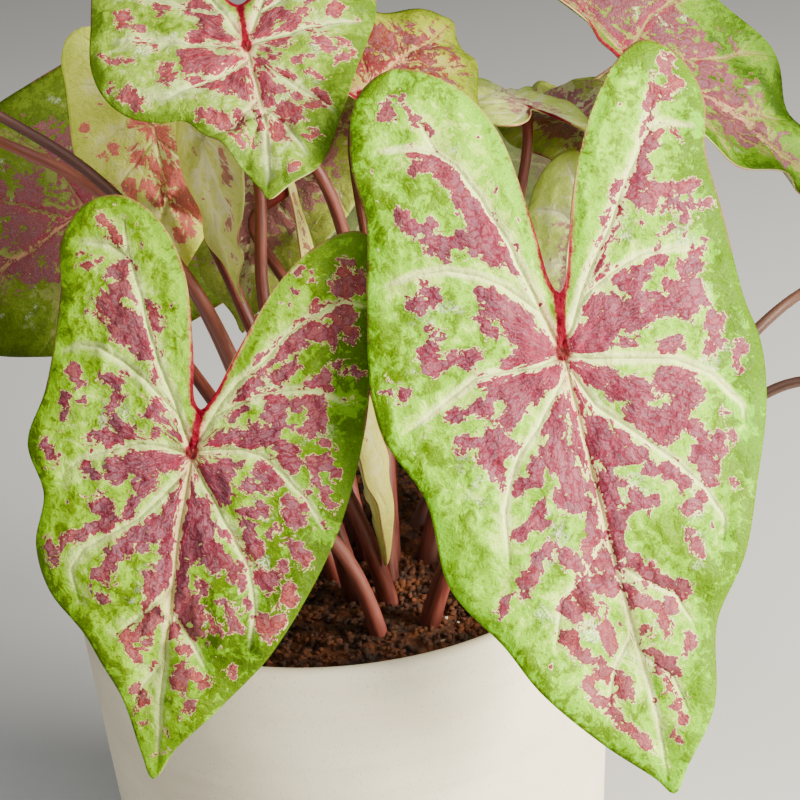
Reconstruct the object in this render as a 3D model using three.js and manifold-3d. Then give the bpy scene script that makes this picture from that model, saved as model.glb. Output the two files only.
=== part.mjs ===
import * as THREE from 'three';
import { mergeVertices } from 'three/addons/utils/BufferGeometryUtils.js';
import Module from 'manifold-3d';

// A caladium growing in a plain round pot. Millimetres, +Z up, with the origin
// at the middle of the pot's base and the plant's front towards -Y.

// ---------------------------------------------------------------- driving sizes

const GAP = 0.3; // clearance left wherever two pieces touch

const POT_HEIGHT = 150;
const POT_RIM_RADIUS = 85;
const POT_BASE_RADIUS = 76.6;
const POT_WALL = 4.5;
const POT_FLOOR = 6;
const POT_LIP_ROUND = 2;
const POT_FOOT_ROUND = 3;
const POT_SIDES = 48;

const SOIL_TOP = 139; // height of the soil where it meets the pot
const SOIL_CROWN = 3.5; // how much higher it stands around the stems
const SOIL_RIPPLE = 1.1; // lumps in its surface
const SOIL_SIDES = 36;

const TUBER_RADIUS = 42;
const TUBER_HEIGHT = 34;
const TUBER_TOP = 114; // height of its flat crown, where the petioles start
const TUBER_CROWN_RADIUS = 39;
const TUBER_SIDES = 20;
const CROWN_CENTRE = new THREE.Vector2(14, -20); // the tuber sits a little forward

const BLADE_THICKNESS = 0.8;
const PETIOLE_SIDES = 7;
const PETIOLE_STEPS = 11;
const PETIOLE_END_RADIUS = 1.7; // where it meets the blade
const PETIOLE_BASE_RADIUS = 4.1; // at the tuber

const degrees = (angle) => (angle * Math.PI) / 180;

// ---------------------------------------------------------------- materials

const material = (color, roughness) => new THREE.MeshStandardMaterial({ color, roughness, metalness: 0 });

const potFinish = material('#d9d0c2', 0.85);
const soilFinish = material('#3a2417', 1);
const tuberFinish = material('#7a5a3c', 0.9);
const bladeFinish = material('#8fb64f', 0.5);
const youngBladeFinish = material('#d8d694', 0.5);
const petioleFinish = material('#8c4a48', 0.5);

// ---------------------------------------------------------------- solids

const plant = new THREE.Group();

function addPiece(name, geometry, finish) {
  const mesh = new THREE.Mesh(geometry, finish);
  mesh.name = name;
  plant.add(mesh);
}

function weld(geometry) {
  const bare = geometry.clone();
  bare.deleteAttribute('normal');
  bare.deleteAttribute('uv');
  return mergeVertices(bare, 1e-4);
}

function polyhedron(points, triangles) {
  const geometry = new THREE.BufferGeometry();
  geometry.setAttribute('position', new THREE.Float32BufferAttribute(points.flatMap((p) => p.toArray()), 3));
  geometry.setIndex(triangles.flat());
  return geometry;
}

const wasm = await Module();
wasm.setup();

function toSolid(geometry) {
  const welded = weld(geometry);
  return new wasm.Manifold(new wasm.Mesh({
    numProp: 3,
    vertProperties: new Float32Array(welded.attributes.position.array),
    triVerts: new Uint32Array(welded.index.array),
  }));
}

function toGeometry(solid) {
  const mesh = solid.getMesh();
  const geometry = new THREE.BufferGeometry();
  geometry.setAttribute('position', new THREE.BufferAttribute(mesh.vertProperties, 3));
  geometry.setIndex(new THREE.BufferAttribute(mesh.triVerts, 1));
  return geometry;
}

// A lathe turns about Y, so its geometry is stood up onto Z.
const turned = (profile, sides) => new THREE.LatheGeometry(profile, sides).rotateX(Math.PI / 2);

// ---------------------------------------------------------------- pot

const potRadiusAt = (z) => POT_BASE_RADIUS + ((POT_RIM_RADIUS - POT_BASE_RADIUS) * z) / POT_HEIGHT;

function potGeometry() {
  const inside = (z) => potRadiusAt(z) - POT_WALL;
  const section = new THREE.Path();
  section.moveTo(0, 0);
  section.lineTo(POT_BASE_RADIUS - POT_FOOT_ROUND, 0);
  section.quadraticCurveTo(POT_BASE_RADIUS, 0, potRadiusAt(POT_FOOT_ROUND), POT_FOOT_ROUND);
  section.lineTo(potRadiusAt(POT_HEIGHT - POT_LIP_ROUND), POT_HEIGHT - POT_LIP_ROUND);
  section.quadraticCurveTo(POT_RIM_RADIUS, POT_HEIGHT, POT_RIM_RADIUS - POT_WALL / 2, POT_HEIGHT);
  section.quadraticCurveTo(inside(POT_HEIGHT), POT_HEIGHT, inside(POT_HEIGHT), POT_HEIGHT - POT_LIP_ROUND);
  section.lineTo(inside(POT_FLOOR), POT_FLOOR);
  section.lineTo(0, POT_FLOOR);
  const roundSteps = 2;
  return weld(turned(section.getPoints(roundSteps), POT_SIDES));
}

// ---------------------------------------------------------------- tuber

// A squat corm, wider than it is high, with a nearly flat crown.
function tuberGeometry(grow = 0) {
  const middle = TUBER_TOP - TUBER_HEIGHT / 2;
  const half = TUBER_HEIGHT / 2 + grow;
  const belly = TUBER_RADIUS + grow;
  const profile = [
    new THREE.Vector2(0, middle - half),
    new THREE.Vector2(belly * 0.5, middle - half * 0.9),
    new THREE.Vector2(belly * 0.87, middle - half * 0.5),
    new THREE.Vector2(belly, middle + half * 0.2),
    new THREE.Vector2(TUBER_CROWN_RADIUS + grow, middle + half),
    new THREE.Vector2(0, middle + half),
  ];
  return turned(profile, TUBER_SIDES).translate(CROWN_CENTRE.x, CROWN_CENTRE.y, 0);
}

// ---------------------------------------------------------------- blades

// Blade outlines lie in the blade's own plane: x to the right and y from the tip
// towards the lobes, seen from above, measured from where the petiole joins.
// They start at the tip and run up the right margin, round the right lobe,
// down into the notch and back along the left margin.

const FRONT_RIGHT_OUTLINE = [
  [2, -119], [7, -112], [17, -98], [23, -78], [34, -62], [42, -46], [51, -26], [54, -10], [52, 4],
  [52, 26], [52, 44], [56, 58], [52, 71], [43, 76.5], [34, 72], [25, 62], [17, 48], [10.5, 30], [5, 17],
  [3, 15.5], [1.5, 19], [1, 34], [-2, 62], [-10, 76], [-24, 84], [-35, 79], [-41, 62], [-41, 46], [-46, 26],
  [-51, 2], [-50.5, -11], [-44, -28], [-43, -52], [-33, -70], [-27, -83], [-14, -101], [-2, -114],
];
const FRONT_LEFT_OUTLINE = [
  [-1, -89], [5, -79], [15, -67], [27, -51], [36, -32], [42, -12], [45, 12], [45, 30], [47, 48],
  [44, 60], [36, 64.5], [27, 60], [18, 49], [10, 31], [3.5, 15], [1, 12], [-1, 14], [-3.5, 28],
  [-9, 48], [-18, 61], [-30, 67], [-40, 64], [-45.5, 53], [-43, 38], [-43, 12], [-46, -3],
  [-39, -16], [-40, -30], [-35, -42], [-21, -54], [-12, -67], [-5, -82],
];
const TOP_FRONT_OUTLINE = [
  [0, -49], [6, -46.5], [13, -42], [20, -31], [25, -20], [29, -9], [33, 0], [37, 10], [39, 24], [38, 38],
  [33, 48], [25, 52], [17, 45], [10, 32], [4, 19], [0, 16.4], [-3, 19], [-8, 32], [-15, 46], [-25, 52],
  [-35, 47], [-40, 36], [-42, 16], [-43, 0], [-40, -10], [-34, -17], [-26, -20.5], [-19, -21.5], [-15, -26],
  [-8, -35], [-2, -45],
];
// The two youngest blades are still rolled up and have no lobes.
const YOUNG_OUTLINE = [
  [0, -63], [5, -52], [11, -36], [13, -17], [8, 0], [3, 6], [0, 7], [-3, 6], [-8, 0], [-13, -17],
  [-11, -36], [-5, -52],
];
const YOUNGEST_OUTLINE = [
  [0, -41], [4, -39], [6, -31], [5, -18], [2.8, -6], [2.2, 2], [0, 4], [-2.2, 2], [-2.8, -6], [-5, -18],
  [-6, -31], [-4, -39],
];
// The ordinary blade has a tip one unit long; each leaf sets its own length and breadth.
const COMMON_OUTLINE = [
  [0, -1], [0.05, -0.92], [0.16, -0.77], [0.29, -0.57], [0.4, -0.34], [0.47, -0.1], [0.49, 0.14],
  [0.5, 0.38], [0.52, 0.54], [0.47, 0.69], [0.36, 0.73], [0.25, 0.63], [0.15, 0.44], [0.05, 0.19],
  [0, 0.13], [-0.05, 0.19], [-0.14, 0.44], [-0.23, 0.64], [-0.34, 0.75], [-0.46, 0.71], [-0.51, 0.55],
  [-0.49, 0.36], [-0.48, 0.12], [-0.47, -0.12], [-0.4, -0.36], [-0.28, -0.58], [-0.16, -0.78], [-0.05, -0.92],
];

// How a blade hangs: heading turns its tip from the front towards +X, pitch drops the
// tip and roll raises its right side. tipBend and lobeBend curl the two ends down, fold
// lifts both halves from the midrib and droop curls their margins down again, all in
// degrees. wave is the height of the ripple along the margin.
const COMMON_BEND = { roll: 0, tipBend: 18, lobeBend: 20, fold: 6, droop: 22, wave: 2 };
const FRONT_BEND = { tipBend: 10, lobeBend: 10, fold: 8, droop: 18, wave: 1.5 };

// soil is where the petiole leaves the tuber, straight up, and via where it passes.
const LEAVES = [
  { name: 'front_right', at: [64.7, -82, 238.6], heading: 20.7, pitch: 62.2, roll: 13,
    outline: FRONT_RIGHT_OUTLINE, ...FRONT_BEND,
    soil: [25, -48], via: [[46, -50, 190]] },
  { name: 'front_left', at: [-34.3, -78, 216.6], heading: -27.5, pitch: 63.5, roll: -18.5,
    outline: FRONT_LEFT_OUTLINE, ...FRONT_BEND,
    soil: [10.5, -50.5], via: [[-2, -53, 176]] },
  { name: 'top_front', at: [-12.1, -20, 309.5], heading: 6, pitch: 36, roll: 0,
    outline: TOP_FRONT_OUTLINE, ...COMMON_BEND, tipBend: 6, droop: 16,
    soil: [14, -22], via: [[9.5, -13, 251], [2, -12, 274]] },
  { name: 'left_hanging', at: [-44, 15, 280], heading: 10, pitch: 70,
    length: 46, breadth: 54, lobes: [1, 0.3], ...COMMON_BEND, roll: 17, wave: 2.5,
    soil: [1, -9], via: [[-24, 8, 225]] },
  { name: 'left_folded', at: [-27, -13, 283], heading: -74, pitch: 88,
    length: 52, breadth: 44, lobes: [0.45, 0.45], ...COMMON_BEND, roll: -12,
    lobeBend: 30, fold: 4, droop: 10, wave: 1,
    soil: [4, -31], via: [[-15, -17, 232]] },
  { name: 'far_left', at: [-76, 72, 237], heading: -68, pitch: 23,
    length: 76, breadth: 102, ...COMMON_BEND, roll: -52, wave: 2.5,
    soil: [-10, 2], via: [[-50, 56, 190]] },
  { name: 'mid_back', at: [-15, 46, 254], heading: -25, pitch: 52,
    length: 52, breadth: 68, ...COMMON_BEND,
    soil: [5, 2], via: [[-2, 36, 200]] },
  { name: 'young_hanging', at: [2, -35, 218], heading: 73, pitch: 77,
    outline: YOUNG_OUTLINE, ...COMMON_BEND, tipBend: 4, lobeBend: 4, fold: 62, droop: 8, wave: 0.5,
    soil: [14, -35], via: [[4, -36, 180]] },
  { name: 'back_centre', at: [18, 20, 283], heading: 148, pitch: -10,
    length: 62, breadth: 84, lobes: [0.75, 0.5], ...COMMON_BEND, roll: 33, tipBend: 10, lobeBend: 40,
    soil: [15, -9], via: [[17, 10, 220]] },
  { name: 'back_right_small', at: [70, 62, 263], heading: 190, pitch: 6,
    length: 58, breadth: 42, ...COMMON_BEND, roll: 10, tipBend: 0, lobeBend: 0, fold: 0, droop: 16,
    soil: [26, -12], via: [[52, 24, 205]] },
  { name: 'back_right_high', at: [87, 84, 251], heading: 208, pitch: 0,
    length: 56, breadth: 46, ...COMMON_BEND, roll: -16, lobeBend: 6, fold: 20,
    soil: [33, -2], via: [[60, 40, 200]] },
  { name: 'young_edge', at: [-6, 12, 258], heading: 70, pitch: 82, stem: 2.6,
    outline: YOUNGEST_OUTLINE, ...COMMON_BEND,
    tipBend: 4, lobeBend: 4, fold: 30, droop: 8, wave: 0,
    soil: [8, -10], via: [[-7, 4, 225]] },
  { name: 'behind_notch', at: [83, 10, 227], heading: -28, pitch: 52,
    length: 58, breadth: 66, lobes: [1, 0.8], ...COMMON_BEND, roll: 12,
    soil: [37, -13], via: [[60, 16, 180], [72, 30, 206]] },
  { name: 'top_right', at: [102, 55, 279], heading: 82, pitch: 30,
    length: 83, breadth: 92, lobes: [0.15, 1], ...COMMON_BEND, roll: 20,
    lobeBend: 28, fold: 6, droop: -33, wave: 3,
    soil: [36, -24], via: [[92, -24, 198], [117, 2, 230], [106, 34, 254]] },
  { name: 'right_upper', at: [190, 38, 228], heading: 98, pitch: 74,
    length: 72, breadth: 74, ...COMMON_BEND,
    soil: [47, -26], via: [[92, -34, 186], [138, 0, 212]] },
  { name: 'right_lower', at: [186, -34, 208], heading: 48, pitch: 72,
    length: 72, breadth: 72, ...COMMON_BEND,
    soil: [37, -37], via: [[84, -42, 169], [136, -16, 194]] },
  { name: 'left_upper', at: [-106, -12, 316], heading: -60, pitch: 62,
    length: 74, breadth: 62, ...COMMON_BEND,
    soil: [-1, -20], via: [[-23, -12, 204], [-37, -12, 242], [-61, -10, 275]] },
  { name: 'left_lower', at: [-128, 50, 292], heading: -100, pitch: 70,
    length: 70, breadth: 70, ...COMMON_BEND,
    soil: [-12, -12], via: [[-38, 0, 236], [-63, 2, 267], [-88, 5, 282]] },
  { name: 'rear_left', at: [-57, 144, 218], heading: -150, pitch: 52,
    length: 76, breadth: 76, ...COMMON_BEND,
    soil: [-2, 9], via: [[-18, 66, 182]] },
  { name: 'rear_centre', at: [18, 134, 232], heading: 178, pitch: 54,
    length: 78, breadth: 68, ...COMMON_BEND,
    soil: [15, 6], via: [[18, 60, 190]] },
  { name: 'rear_right', at: [100, 132, 203], heading: 146, pitch: 60,
    length: 72, breadth: 70, ...COMMON_BEND,
    soil: [24, 10], via: [[58, 68, 165]] },
];

// lobes holds the shares of the common lobe length kept by the left and the right lobe.
const outlineOf = ({ outline, length, breadth, lobes = [1, 1] }) => outline
  ?? COMMON_OUTLINE.map(([x, y]) => [x * breadth, y * length * (y < 0 ? 1 : lobes[x < 0 ? 0 : 1])]);

function bladeFrame({ at, heading, pitch, roll }) {
  const turn = new THREE.Matrix4().makeRotationZ(degrees(heading));
  const drop = new THREE.Matrix4().makeRotationX(degrees(pitch));
  const tilt = new THREE.Matrix4().makeRotationY(degrees(-roll));
  return turn.multiply(drop).multiply(tilt).setPosition(...at);
}

// Distance along and across a circular arc that starts at an angle and curls down.
function arc(distance, startAngle, curl) {
  if (Math.abs(curl) < 1e-9) return [distance * Math.cos(startAngle), distance * Math.sin(startAngle)];
  const endAngle = startAngle - curl * distance;
  const along = (Math.sin(startAngle) - Math.sin(endAngle)) / curl;
  const rise = (Math.cos(endAngle) - Math.cos(startAngle)) / curl;
  return [along, rise];
}

// The bent blade: a point (x, y) of the flat outline goes to its place in the blade's frame.
function bladeShape(leaf) {
  const outline = outlineOf(leaf);
  const reach = (axis, sign) => Math.max(...outline.map((point) => sign * point[axis]));
  const tipLength = reach(1, -1);
  const lobeLength = reach(1, 1);
  const halfWidth = (reach(0, 1) + reach(0, -1)) / 2;
  const waves = 5;
  return (x, y, rim) => {
    const bend = y < 0 ? leaf.tipBend / tipLength : leaf.lobeBend / lobeLength;
    const [along, drop] = arc(Math.abs(y), 0, degrees(bend));
    const [across, rise] = arc(Math.abs(x), degrees(leaf.fold), degrees(leaf.droop + leaf.fold) / halfWidth);
    const lean = degrees(bend) * Math.abs(y) * Math.sign(y);
    const ripple = leaf.wave * rim ** 2 * Math.sin(waves * Math.atan2(x, y + tipLength / 2));
    const lift = rise + ripple;
    return new THREE.Vector3(
      across * Math.sign(x),
      along * Math.sign(y) + lift * Math.sin(lean),
      drop + lift * Math.cos(lean),
    );
  };
}

// Each blade is a thin closed sheet: rings of points at growing shares of the way
// from the petiole's joint to the outline, on an upper and a lower face.
function bladeGeometry(leaf, rimPoints, rings) {
  const corners = outlineOf(leaf).map(([x, y]) => new THREE.Vector3(x, y, 0));
  const margin = new THREE.CatmullRomCurve3(corners, true).getSpacedPoints(rimPoints).slice(0, rimPoints);
  const shape = bladeShape(leaf);
  const frame = bladeFrame(leaf);
  const nudge = 0.5;
  const points = [];
  const place = (x, y, rim, side) => {
    const here = shape(x, y, rim);
    const alongX = shape(x + nudge, y, rim).sub(shape(x - nudge, y, rim));
    const alongY = shape(x, y + nudge, rim).sub(shape(x, y - nudge, rim));
    const normal = alongX.cross(alongY).normalize();
    points.push(here.addScaledVector(normal, (side * BLADE_THICKNESS) / 2).applyMatrix4(frame));
  };
  for (const side of [1, -1]) {
    place(0, 0, 0, side);
    for (const share of rings) margin.forEach((p) => place(p.x * share, p.y * share, share, side));
  }
  const faceSize = 1 + rings.length * rimPoints;
  const triangles = [];
  for (let i = 0; i < rimPoints; i += 1) {
    const j = (i + 1) % rimPoints;
    triangles.push([0, 1 + i, 1 + j], [faceSize, faceSize + 1 + j, faceSize + 1 + i]);
    for (let ring = 1; ring < rings.length; ring += 1) {
      const [a, b] = [1 + (ring - 1) * rimPoints + i, 1 + (ring - 1) * rimPoints + j];
      const [c, d] = [a + rimPoints, b + rimPoints];
      triangles.push([a, c, d], [a, d, b]);
      triangles.push([faceSize + a, faceSize + d, faceSize + c], [faceSize + a, faceSize + b, faceSize + d]);
    }
    const [top, topNext] = [faceSize - rimPoints + i, faceSize - rimPoints + j];
    triangles.push([top, faceSize + top, faceSize + topNext], [top, faceSize + topNext, topNext]);
  }
  return polyhedron(points, triangles);
}

// ---------------------------------------------------------------- petioles

const PETIOLE_START = TUBER_TOP + GAP;

// The last stretch comes up under the blade, leaning from behind it.
function petioleCurve(leaf) {
  const frame = bladeFrame(leaf);
  const normal = new THREE.Vector3(0, 0, 1).transformDirection(frame);
  const joint = new THREE.Vector3(...leaf.at).addScaledVector(normal, -(BLADE_THICKNESS / 2 + GAP));
  const approach = normal.clone().add(new THREE.Vector3(0, 0, 0.7)).normalize();
  const lastStretch = 16;
  const before = joint.clone().addScaledVector(approach, -lastStretch);
  const [x, y] = leaf.soil;
  const points = [
    new THREE.Vector3(x, y, PETIOLE_START),
    new THREE.Vector3(x, y, SOIL_TOP),
    ...leaf.via.map((p) => new THREE.Vector3(...p)),
    before,
    joint,
  ];
  return { curve: new THREE.CatmullRomCurve3(points, false, 'centripetal'), joint, normal };
}

// A tapering tube along a curve; its end is cut parallel to the blade it carries.
function petioleGeometry(leaf, grow = 0) {
  const { curve, joint, normal } = petioleCurve(leaf);
  const { stem = PETIOLE_BASE_RADIUS } = leaf;
  const path = curve.getSpacedPoints(PETIOLE_STEPS);
  const frames = curve.computeFrenetFrames(PETIOLE_STEPS, false);
  const points = [];
  path.forEach((centre, step) => {
    const share = step / PETIOLE_STEPS;
    const swell = (1 - share) ** 1.3;
    const radius = PETIOLE_END_RADIUS + (stem - PETIOLE_END_RADIUS) * swell + grow;
    for (let side = 0; side < PETIOLE_SIDES; side += 1) {
      const angle = (2 * Math.PI * side) / PETIOLE_SIDES;
      const point = centre.clone()
        .addScaledVector(frames.normals[step], radius * Math.cos(angle))
        .addScaledVector(frames.binormals[step], radius * Math.sin(angle));
      const tangent = frames.tangents[step];
      if (step === 0) point.addScaledVector(tangent, -4 * grow);
      if (step === PETIOLE_STEPS) {
        const over = point.clone().sub(joint).dot(normal) / tangent.dot(normal);
        point.addScaledVector(tangent, -over);
      }
      points.push(point);
    }
  });
  const triangles = [];
  const last = PETIOLE_STEPS * PETIOLE_SIDES;
  for (let side = 0; side < PETIOLE_SIDES; side += 1) {
    const next = (side + 1) % PETIOLE_SIDES;
    for (let ring = 0; ring < last; ring += PETIOLE_SIDES) {
      const above = ring + PETIOLE_SIDES;
      triangles.push([ring + side, ring + next, above + next], [ring + side, above + next, above + side]);
    }
    if (side > 0 && side < PETIOLE_SIDES - 1) {
      triangles.push([0, side + 1, side], [last, last + side, last + side + 1]);
    }
  }
  return polyhedron(points, triangles);
}

// ---------------------------------------------------------------- soil

// The soil fills the pot round the tuber and the petioles.
function soilGeometry() {
  const bottom = POT_FLOOR + GAP;
  const edge = (z) => potRadiusAt(z) - POT_WALL - 2 * GAP;
  const reach = edge(SOIL_TOP);
  const profile = [
    new THREE.Vector2(0, bottom),
    new THREE.Vector2(edge(bottom), bottom),
    new THREE.Vector2(reach, SOIL_TOP),
  ];
  const rings = 6;
  for (let ring = rings - 1; ring >= 0; ring -= 1) {
    profile.push(new THREE.Vector2((reach * ring) / rings, SOIL_TOP));
  }
  const body = weld(turned(profile, SOIL_SIDES));
  const spots = body.attributes.position;
  for (let i = 0; i < spots.count; i += 1) {
    const [x, y, z] = [spots.getX(i), spots.getY(i), spots.getZ(i)];
    const share = Math.hypot(x, y) / reach;
    if (z > SOIL_TOP - 1 && share < 0.99) {
      const lumps = Math.sin(x / 7 + y / 13) * Math.cos(y / 8 - x / 17);
      spots.setZ(i, z + SOIL_CROWN * (1 - share ** 2) + SOIL_RIPPLE * lumps);
    }
  }
  const hollows = [tuberGeometry(GAP), ...LEAVES.map((leaf) => petioleGeometry(leaf, GAP))];
  const solid = hollows.reduce((rest, hollow) => rest.subtract(toSolid(hollow)), toSolid(body));
  return toGeometry(solid);
}

// ---------------------------------------------------------------- assembly

addPiece('pot', potGeometry(), potFinish);
addPiece('soil', soilGeometry(), soilFinish);
addPiece('tuber', weld(tuberGeometry()), tuberFinish);
for (const leaf of LEAVES) {
  // The three foremost leaves are cut finer.
  const [rimPoints, rings] = leaf.name.includes('front') ? [36, [0.08, 0.35, 0.7, 1]] : [24, [0.1, 0.55, 1]];
  const finish = leaf.name.startsWith('young') ? youngBladeFinish : bladeFinish;
  addPiece(`leaf_${leaf.name}`, bladeGeometry(leaf, rimPoints, rings), finish);
  addPiece(`petiole_${leaf.name}`, petioleGeometry(leaf), petioleFinish);
}

export default plant;
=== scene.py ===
import math
import random

import bmesh
import bpy
import numpy as np
from mathutils import Matrix, Vector, noise


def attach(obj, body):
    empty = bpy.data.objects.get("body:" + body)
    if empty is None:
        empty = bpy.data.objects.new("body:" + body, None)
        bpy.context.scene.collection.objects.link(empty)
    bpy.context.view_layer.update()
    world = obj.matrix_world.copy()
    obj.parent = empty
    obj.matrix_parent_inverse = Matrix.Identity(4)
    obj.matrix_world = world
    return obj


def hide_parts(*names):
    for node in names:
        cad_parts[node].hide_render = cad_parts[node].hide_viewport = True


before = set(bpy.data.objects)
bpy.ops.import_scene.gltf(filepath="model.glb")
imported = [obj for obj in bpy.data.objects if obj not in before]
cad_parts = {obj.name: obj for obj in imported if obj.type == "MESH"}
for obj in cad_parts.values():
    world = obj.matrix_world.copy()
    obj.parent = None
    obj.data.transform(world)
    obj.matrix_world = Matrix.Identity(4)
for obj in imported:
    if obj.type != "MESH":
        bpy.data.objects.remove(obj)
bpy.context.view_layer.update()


# ---------------------------------------------------------------- view
# A long lens a little over half a metre from the plant, looking down on it
# at about a quarter of a right angle and turned slightly on its own axis.

LOOK_DOWN = math.radians(24.4)
TWIST = math.radians(4.57)
VIEWPOINT = Vector((0.0218, -0.556725, 0.444598))
SENSOR_WIDTH = 36.0
FOCAL_LENGTH = 90.0


def add_camera():
    lens = bpy.data.cameras.new("view")
    lens.sensor_width = SENSOR_WIDTH
    lens.lens = FOCAL_LENGTH
    camera = bpy.data.objects.new("view", lens)
    across = Vector((1, 0, 0))
    forward = Vector((0, math.cos(LOOK_DOWN), -math.sin(LOOK_DOWN)))
    upward = Vector((0, math.sin(LOOK_DOWN), math.cos(LOOK_DOWN)))
    right = across * math.cos(TWIST) - upward * math.sin(TWIST)
    top = across * math.sin(TWIST) + upward * math.cos(TWIST)
    turn = Matrix((right, top, -forward)).transposed()
    camera.matrix_world = Matrix.Translation(VIEWPOINT) @ turn.to_4x4()
    bpy.context.scene.collection.objects.link(camera)
    bpy.context.scene.camera = camera


add_camera()


# ---------------------------------------------------------------- floor and light
# A plain pale floor, one broad soft light from the right and a weak one from
# above, under an even pale sky.

FLOOR_SIZE = 6.0
FLOOR_COLORS = ("#c2c3c3", "#bcbdbe")
SKY_COLOR = "#f1f2f2"
SKY_STRENGTH = 0.19
# Name, place, point it shines at, size, power and colour.
LIGHTS = [
    ("light_right", (1.08, -0.6, 0.62), (0.0, 0.0, 0.2), 0.9, 100.0, "#fff6e4"),
    ("light_above", (0.0, -0.5, 1.3), (0.0, 0.0, 0.25), 1.0, 12.0, "#ffffff"),
]


def paint(code):
    """A colour written as #rrggbb, as the linear values that a shader takes."""
    shares = [int(code[i:i + 2], 16) / 255 for i in (1, 3, 5)]
    linear = [s / 12.92 if s <= 0.04045 else ((s + 0.055) / 1.055) ** 2.4 for s in shares]
    return [*linear, 1.0]


class Recipe:
    """A short way to place and join the nodes of one material or node group."""

    def __init__(self, tree):
        self.tree = tree

    def node(self, kind, inputs=None, **settings):
        made = self.tree.nodes.new(kind)
        for key, value in settings.items():
            setattr(made, key, value)
        for key, value in (inputs or {}).items():
            self.feed(made.inputs[key], value)
        return made

    def feed(self, socket, value):
        if isinstance(value, bpy.types.NodeSocket):
            self.tree.links.new(value, socket)
        elif isinstance(value, str):
            socket.default_value = paint(value)
        else:
            socket.default_value = value

    def place(self):
        return self.node("ShaderNodeTexCoord").outputs["Object"]

    def sum(self, operation, a, b=0.0, c=0.0):
        return self.node("ShaderNodeMath", {0: a, 1: b, 2: c}, operation=operation).outputs[0]

    def centred(self, value, size):
        """A value between 0 and 1, stretched to run from -size to size."""
        return self.sum("MULTIPLY_ADD", value, 2 * size, -size)

    def step(self, value, low, high, to_low=0.0, to_high=1.0):
        """Rises smoothly from to_low to to_high as value goes from low to high."""
        made = self.node("ShaderNodeMapRange", {0: value, 1: low, 2: high, 3: to_low, 4: to_high},
                         interpolation_type="SMOOTHSTEP")
        return made.outputs[0]

    def blend(self, share, a, b, blend_type="MIX"):
        made = self.node("ShaderNodeMix", data_type="RGBA", blend_type=blend_type)
        self.feed(made.inputs["Factor"], share)
        self.feed(made.inputs[6], a)
        self.feed(made.inputs[7], b)
        return made.outputs[2]

    def grain(self, place, scale, detail=2.0, roughness=0.5, warp=0.0):
        made = self.node("ShaderNodeTexNoise",
                         {"Vector": place, "Scale": scale, "Detail": detail,
                          "Roughness": roughness, "Distortion": warp})
        return made.outputs["Fac"]

    def vector(self, operation, a, b, c=(0, 0, 0)):
        return self.node("ShaderNodeVectorMath", {0: a, 1: b, 2: c}, operation=operation).outputs[0]

    def scaled(self, place, factors):
        return self.vector("MULTIPLY", place, factors)

    def flat_length(self, vector):
        """The length of a vector, its third part left out."""
        made = self.node("ShaderNodeVectorMath", {0: self.scaled(vector, (1, 1, 0))}, operation="LENGTH")
        return made.outputs["Value"]

    def parts(self, vector):
        return self.node("ShaderNodeSeparateXYZ", {0: vector}).outputs

    def channels(self, color):
        return self.node("ShaderNodeSeparateColor", {0: color}).outputs

    def attribute(self, name):
        return self.node("ShaderNodeAttribute", attribute_name=name).outputs["Vector"]

    def bump(self, height, strength, distance):
        made = self.node("ShaderNodeBump", {"Height": height, "Strength": strength, "Distance": distance})
        return made.outputs[0]


def new_finish(name):
    material = bpy.data.materials.new(name)
    material.use_nodes = True
    material.node_tree.nodes.clear()
    recipe = Recipe(material.node_tree)
    shader = recipe.node("ShaderNodeBsdfPrincipled")
    output = recipe.node("ShaderNodeOutputMaterial")
    recipe.tree.links.new(shader.outputs[0], output.inputs["Surface"])
    return material, recipe, shader, output


def floor_finish():
    material, recipe, shader, _ = new_finish("pale_floor")
    drift = recipe.grain(recipe.place(), 3.0, 3.0)
    recipe.feed(shader.inputs["Base Color"], recipe.blend(drift, *FLOOR_COLORS))
    shader.inputs["Roughness"].default_value = 0.7
    return material


def lay_floor():
    bm = bmesh.new()
    bmesh.ops.create_grid(bm, x_segments=2, y_segments=2, size=FLOOR_SIZE / 2)
    mesh = bpy.data.meshes.new("floor")
    bm.to_mesh(mesh)
    bm.free()
    floor = bpy.data.objects.new("floor", mesh)
    bpy.context.scene.collection.objects.link(floor)
    mesh.materials.append(floor_finish())


def soft_light(name, place, target, size, power, color):
    lamp = bpy.data.lights.new(name, "AREA")
    lamp.shape = "DISK"
    lamp.size = size
    lamp.energy = power
    lamp.color = paint(color)[:3]
    holder = bpy.data.objects.new(name, lamp)
    turn = (Vector(target) - Vector(place)).to_track_quat("-Z", "Y").to_matrix().to_4x4()
    holder.matrix_world = Matrix.Translation(place) @ turn
    bpy.context.scene.collection.objects.link(holder)


def light_sky():
    world = bpy.data.worlds.new("studio")
    world.use_nodes = True
    background = world.node_tree.nodes["Background"]
    background.inputs["Color"].default_value = paint(SKY_COLOR)
    background.inputs["Strength"].default_value = SKY_STRENGTH
    bpy.context.scene.world = world


lay_floor()
for light in LIGHTS:
    soft_light(*light)
light_sky()


# ---------------------------------------------------------------- pot
# The pot is slip-cast stoneware with a straight taper, a rounded lip and a
# matte cream glaze that is finely speckled and faintly uneven.

# Sizes are given in millimetres.
MM = 0.001
POT_HEIGHT = 150
POT_RIM_RADIUS = 85
POT_BASE_RADIUS = 76.6
POT_WALL = 4.5
POT_FLOOR = 6
POT_FLOOR_RADIUS = 60
OUTER_HEIGHTS = range(12, 146, 12)
INNER_HEIGHTS = (144, 138, 120, 60, 12)
FOOT_ROUND = 2.6
FOOT_HOLLOW_RADIUS = 60
FOOT_HOLLOW_DEPTH = 0.6
FOOT_RING_RADIUS = 64
LIP_ROUND = POT_WALL / 2 - 0.01
LIP_INSET = 0.12
POT_ROUND_STEPS = 160
POT_CREAM = "#ddd5bf"
POT_SHADOW = "#cfc6ae"
POT_SPECK = "#b3a68c"


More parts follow.
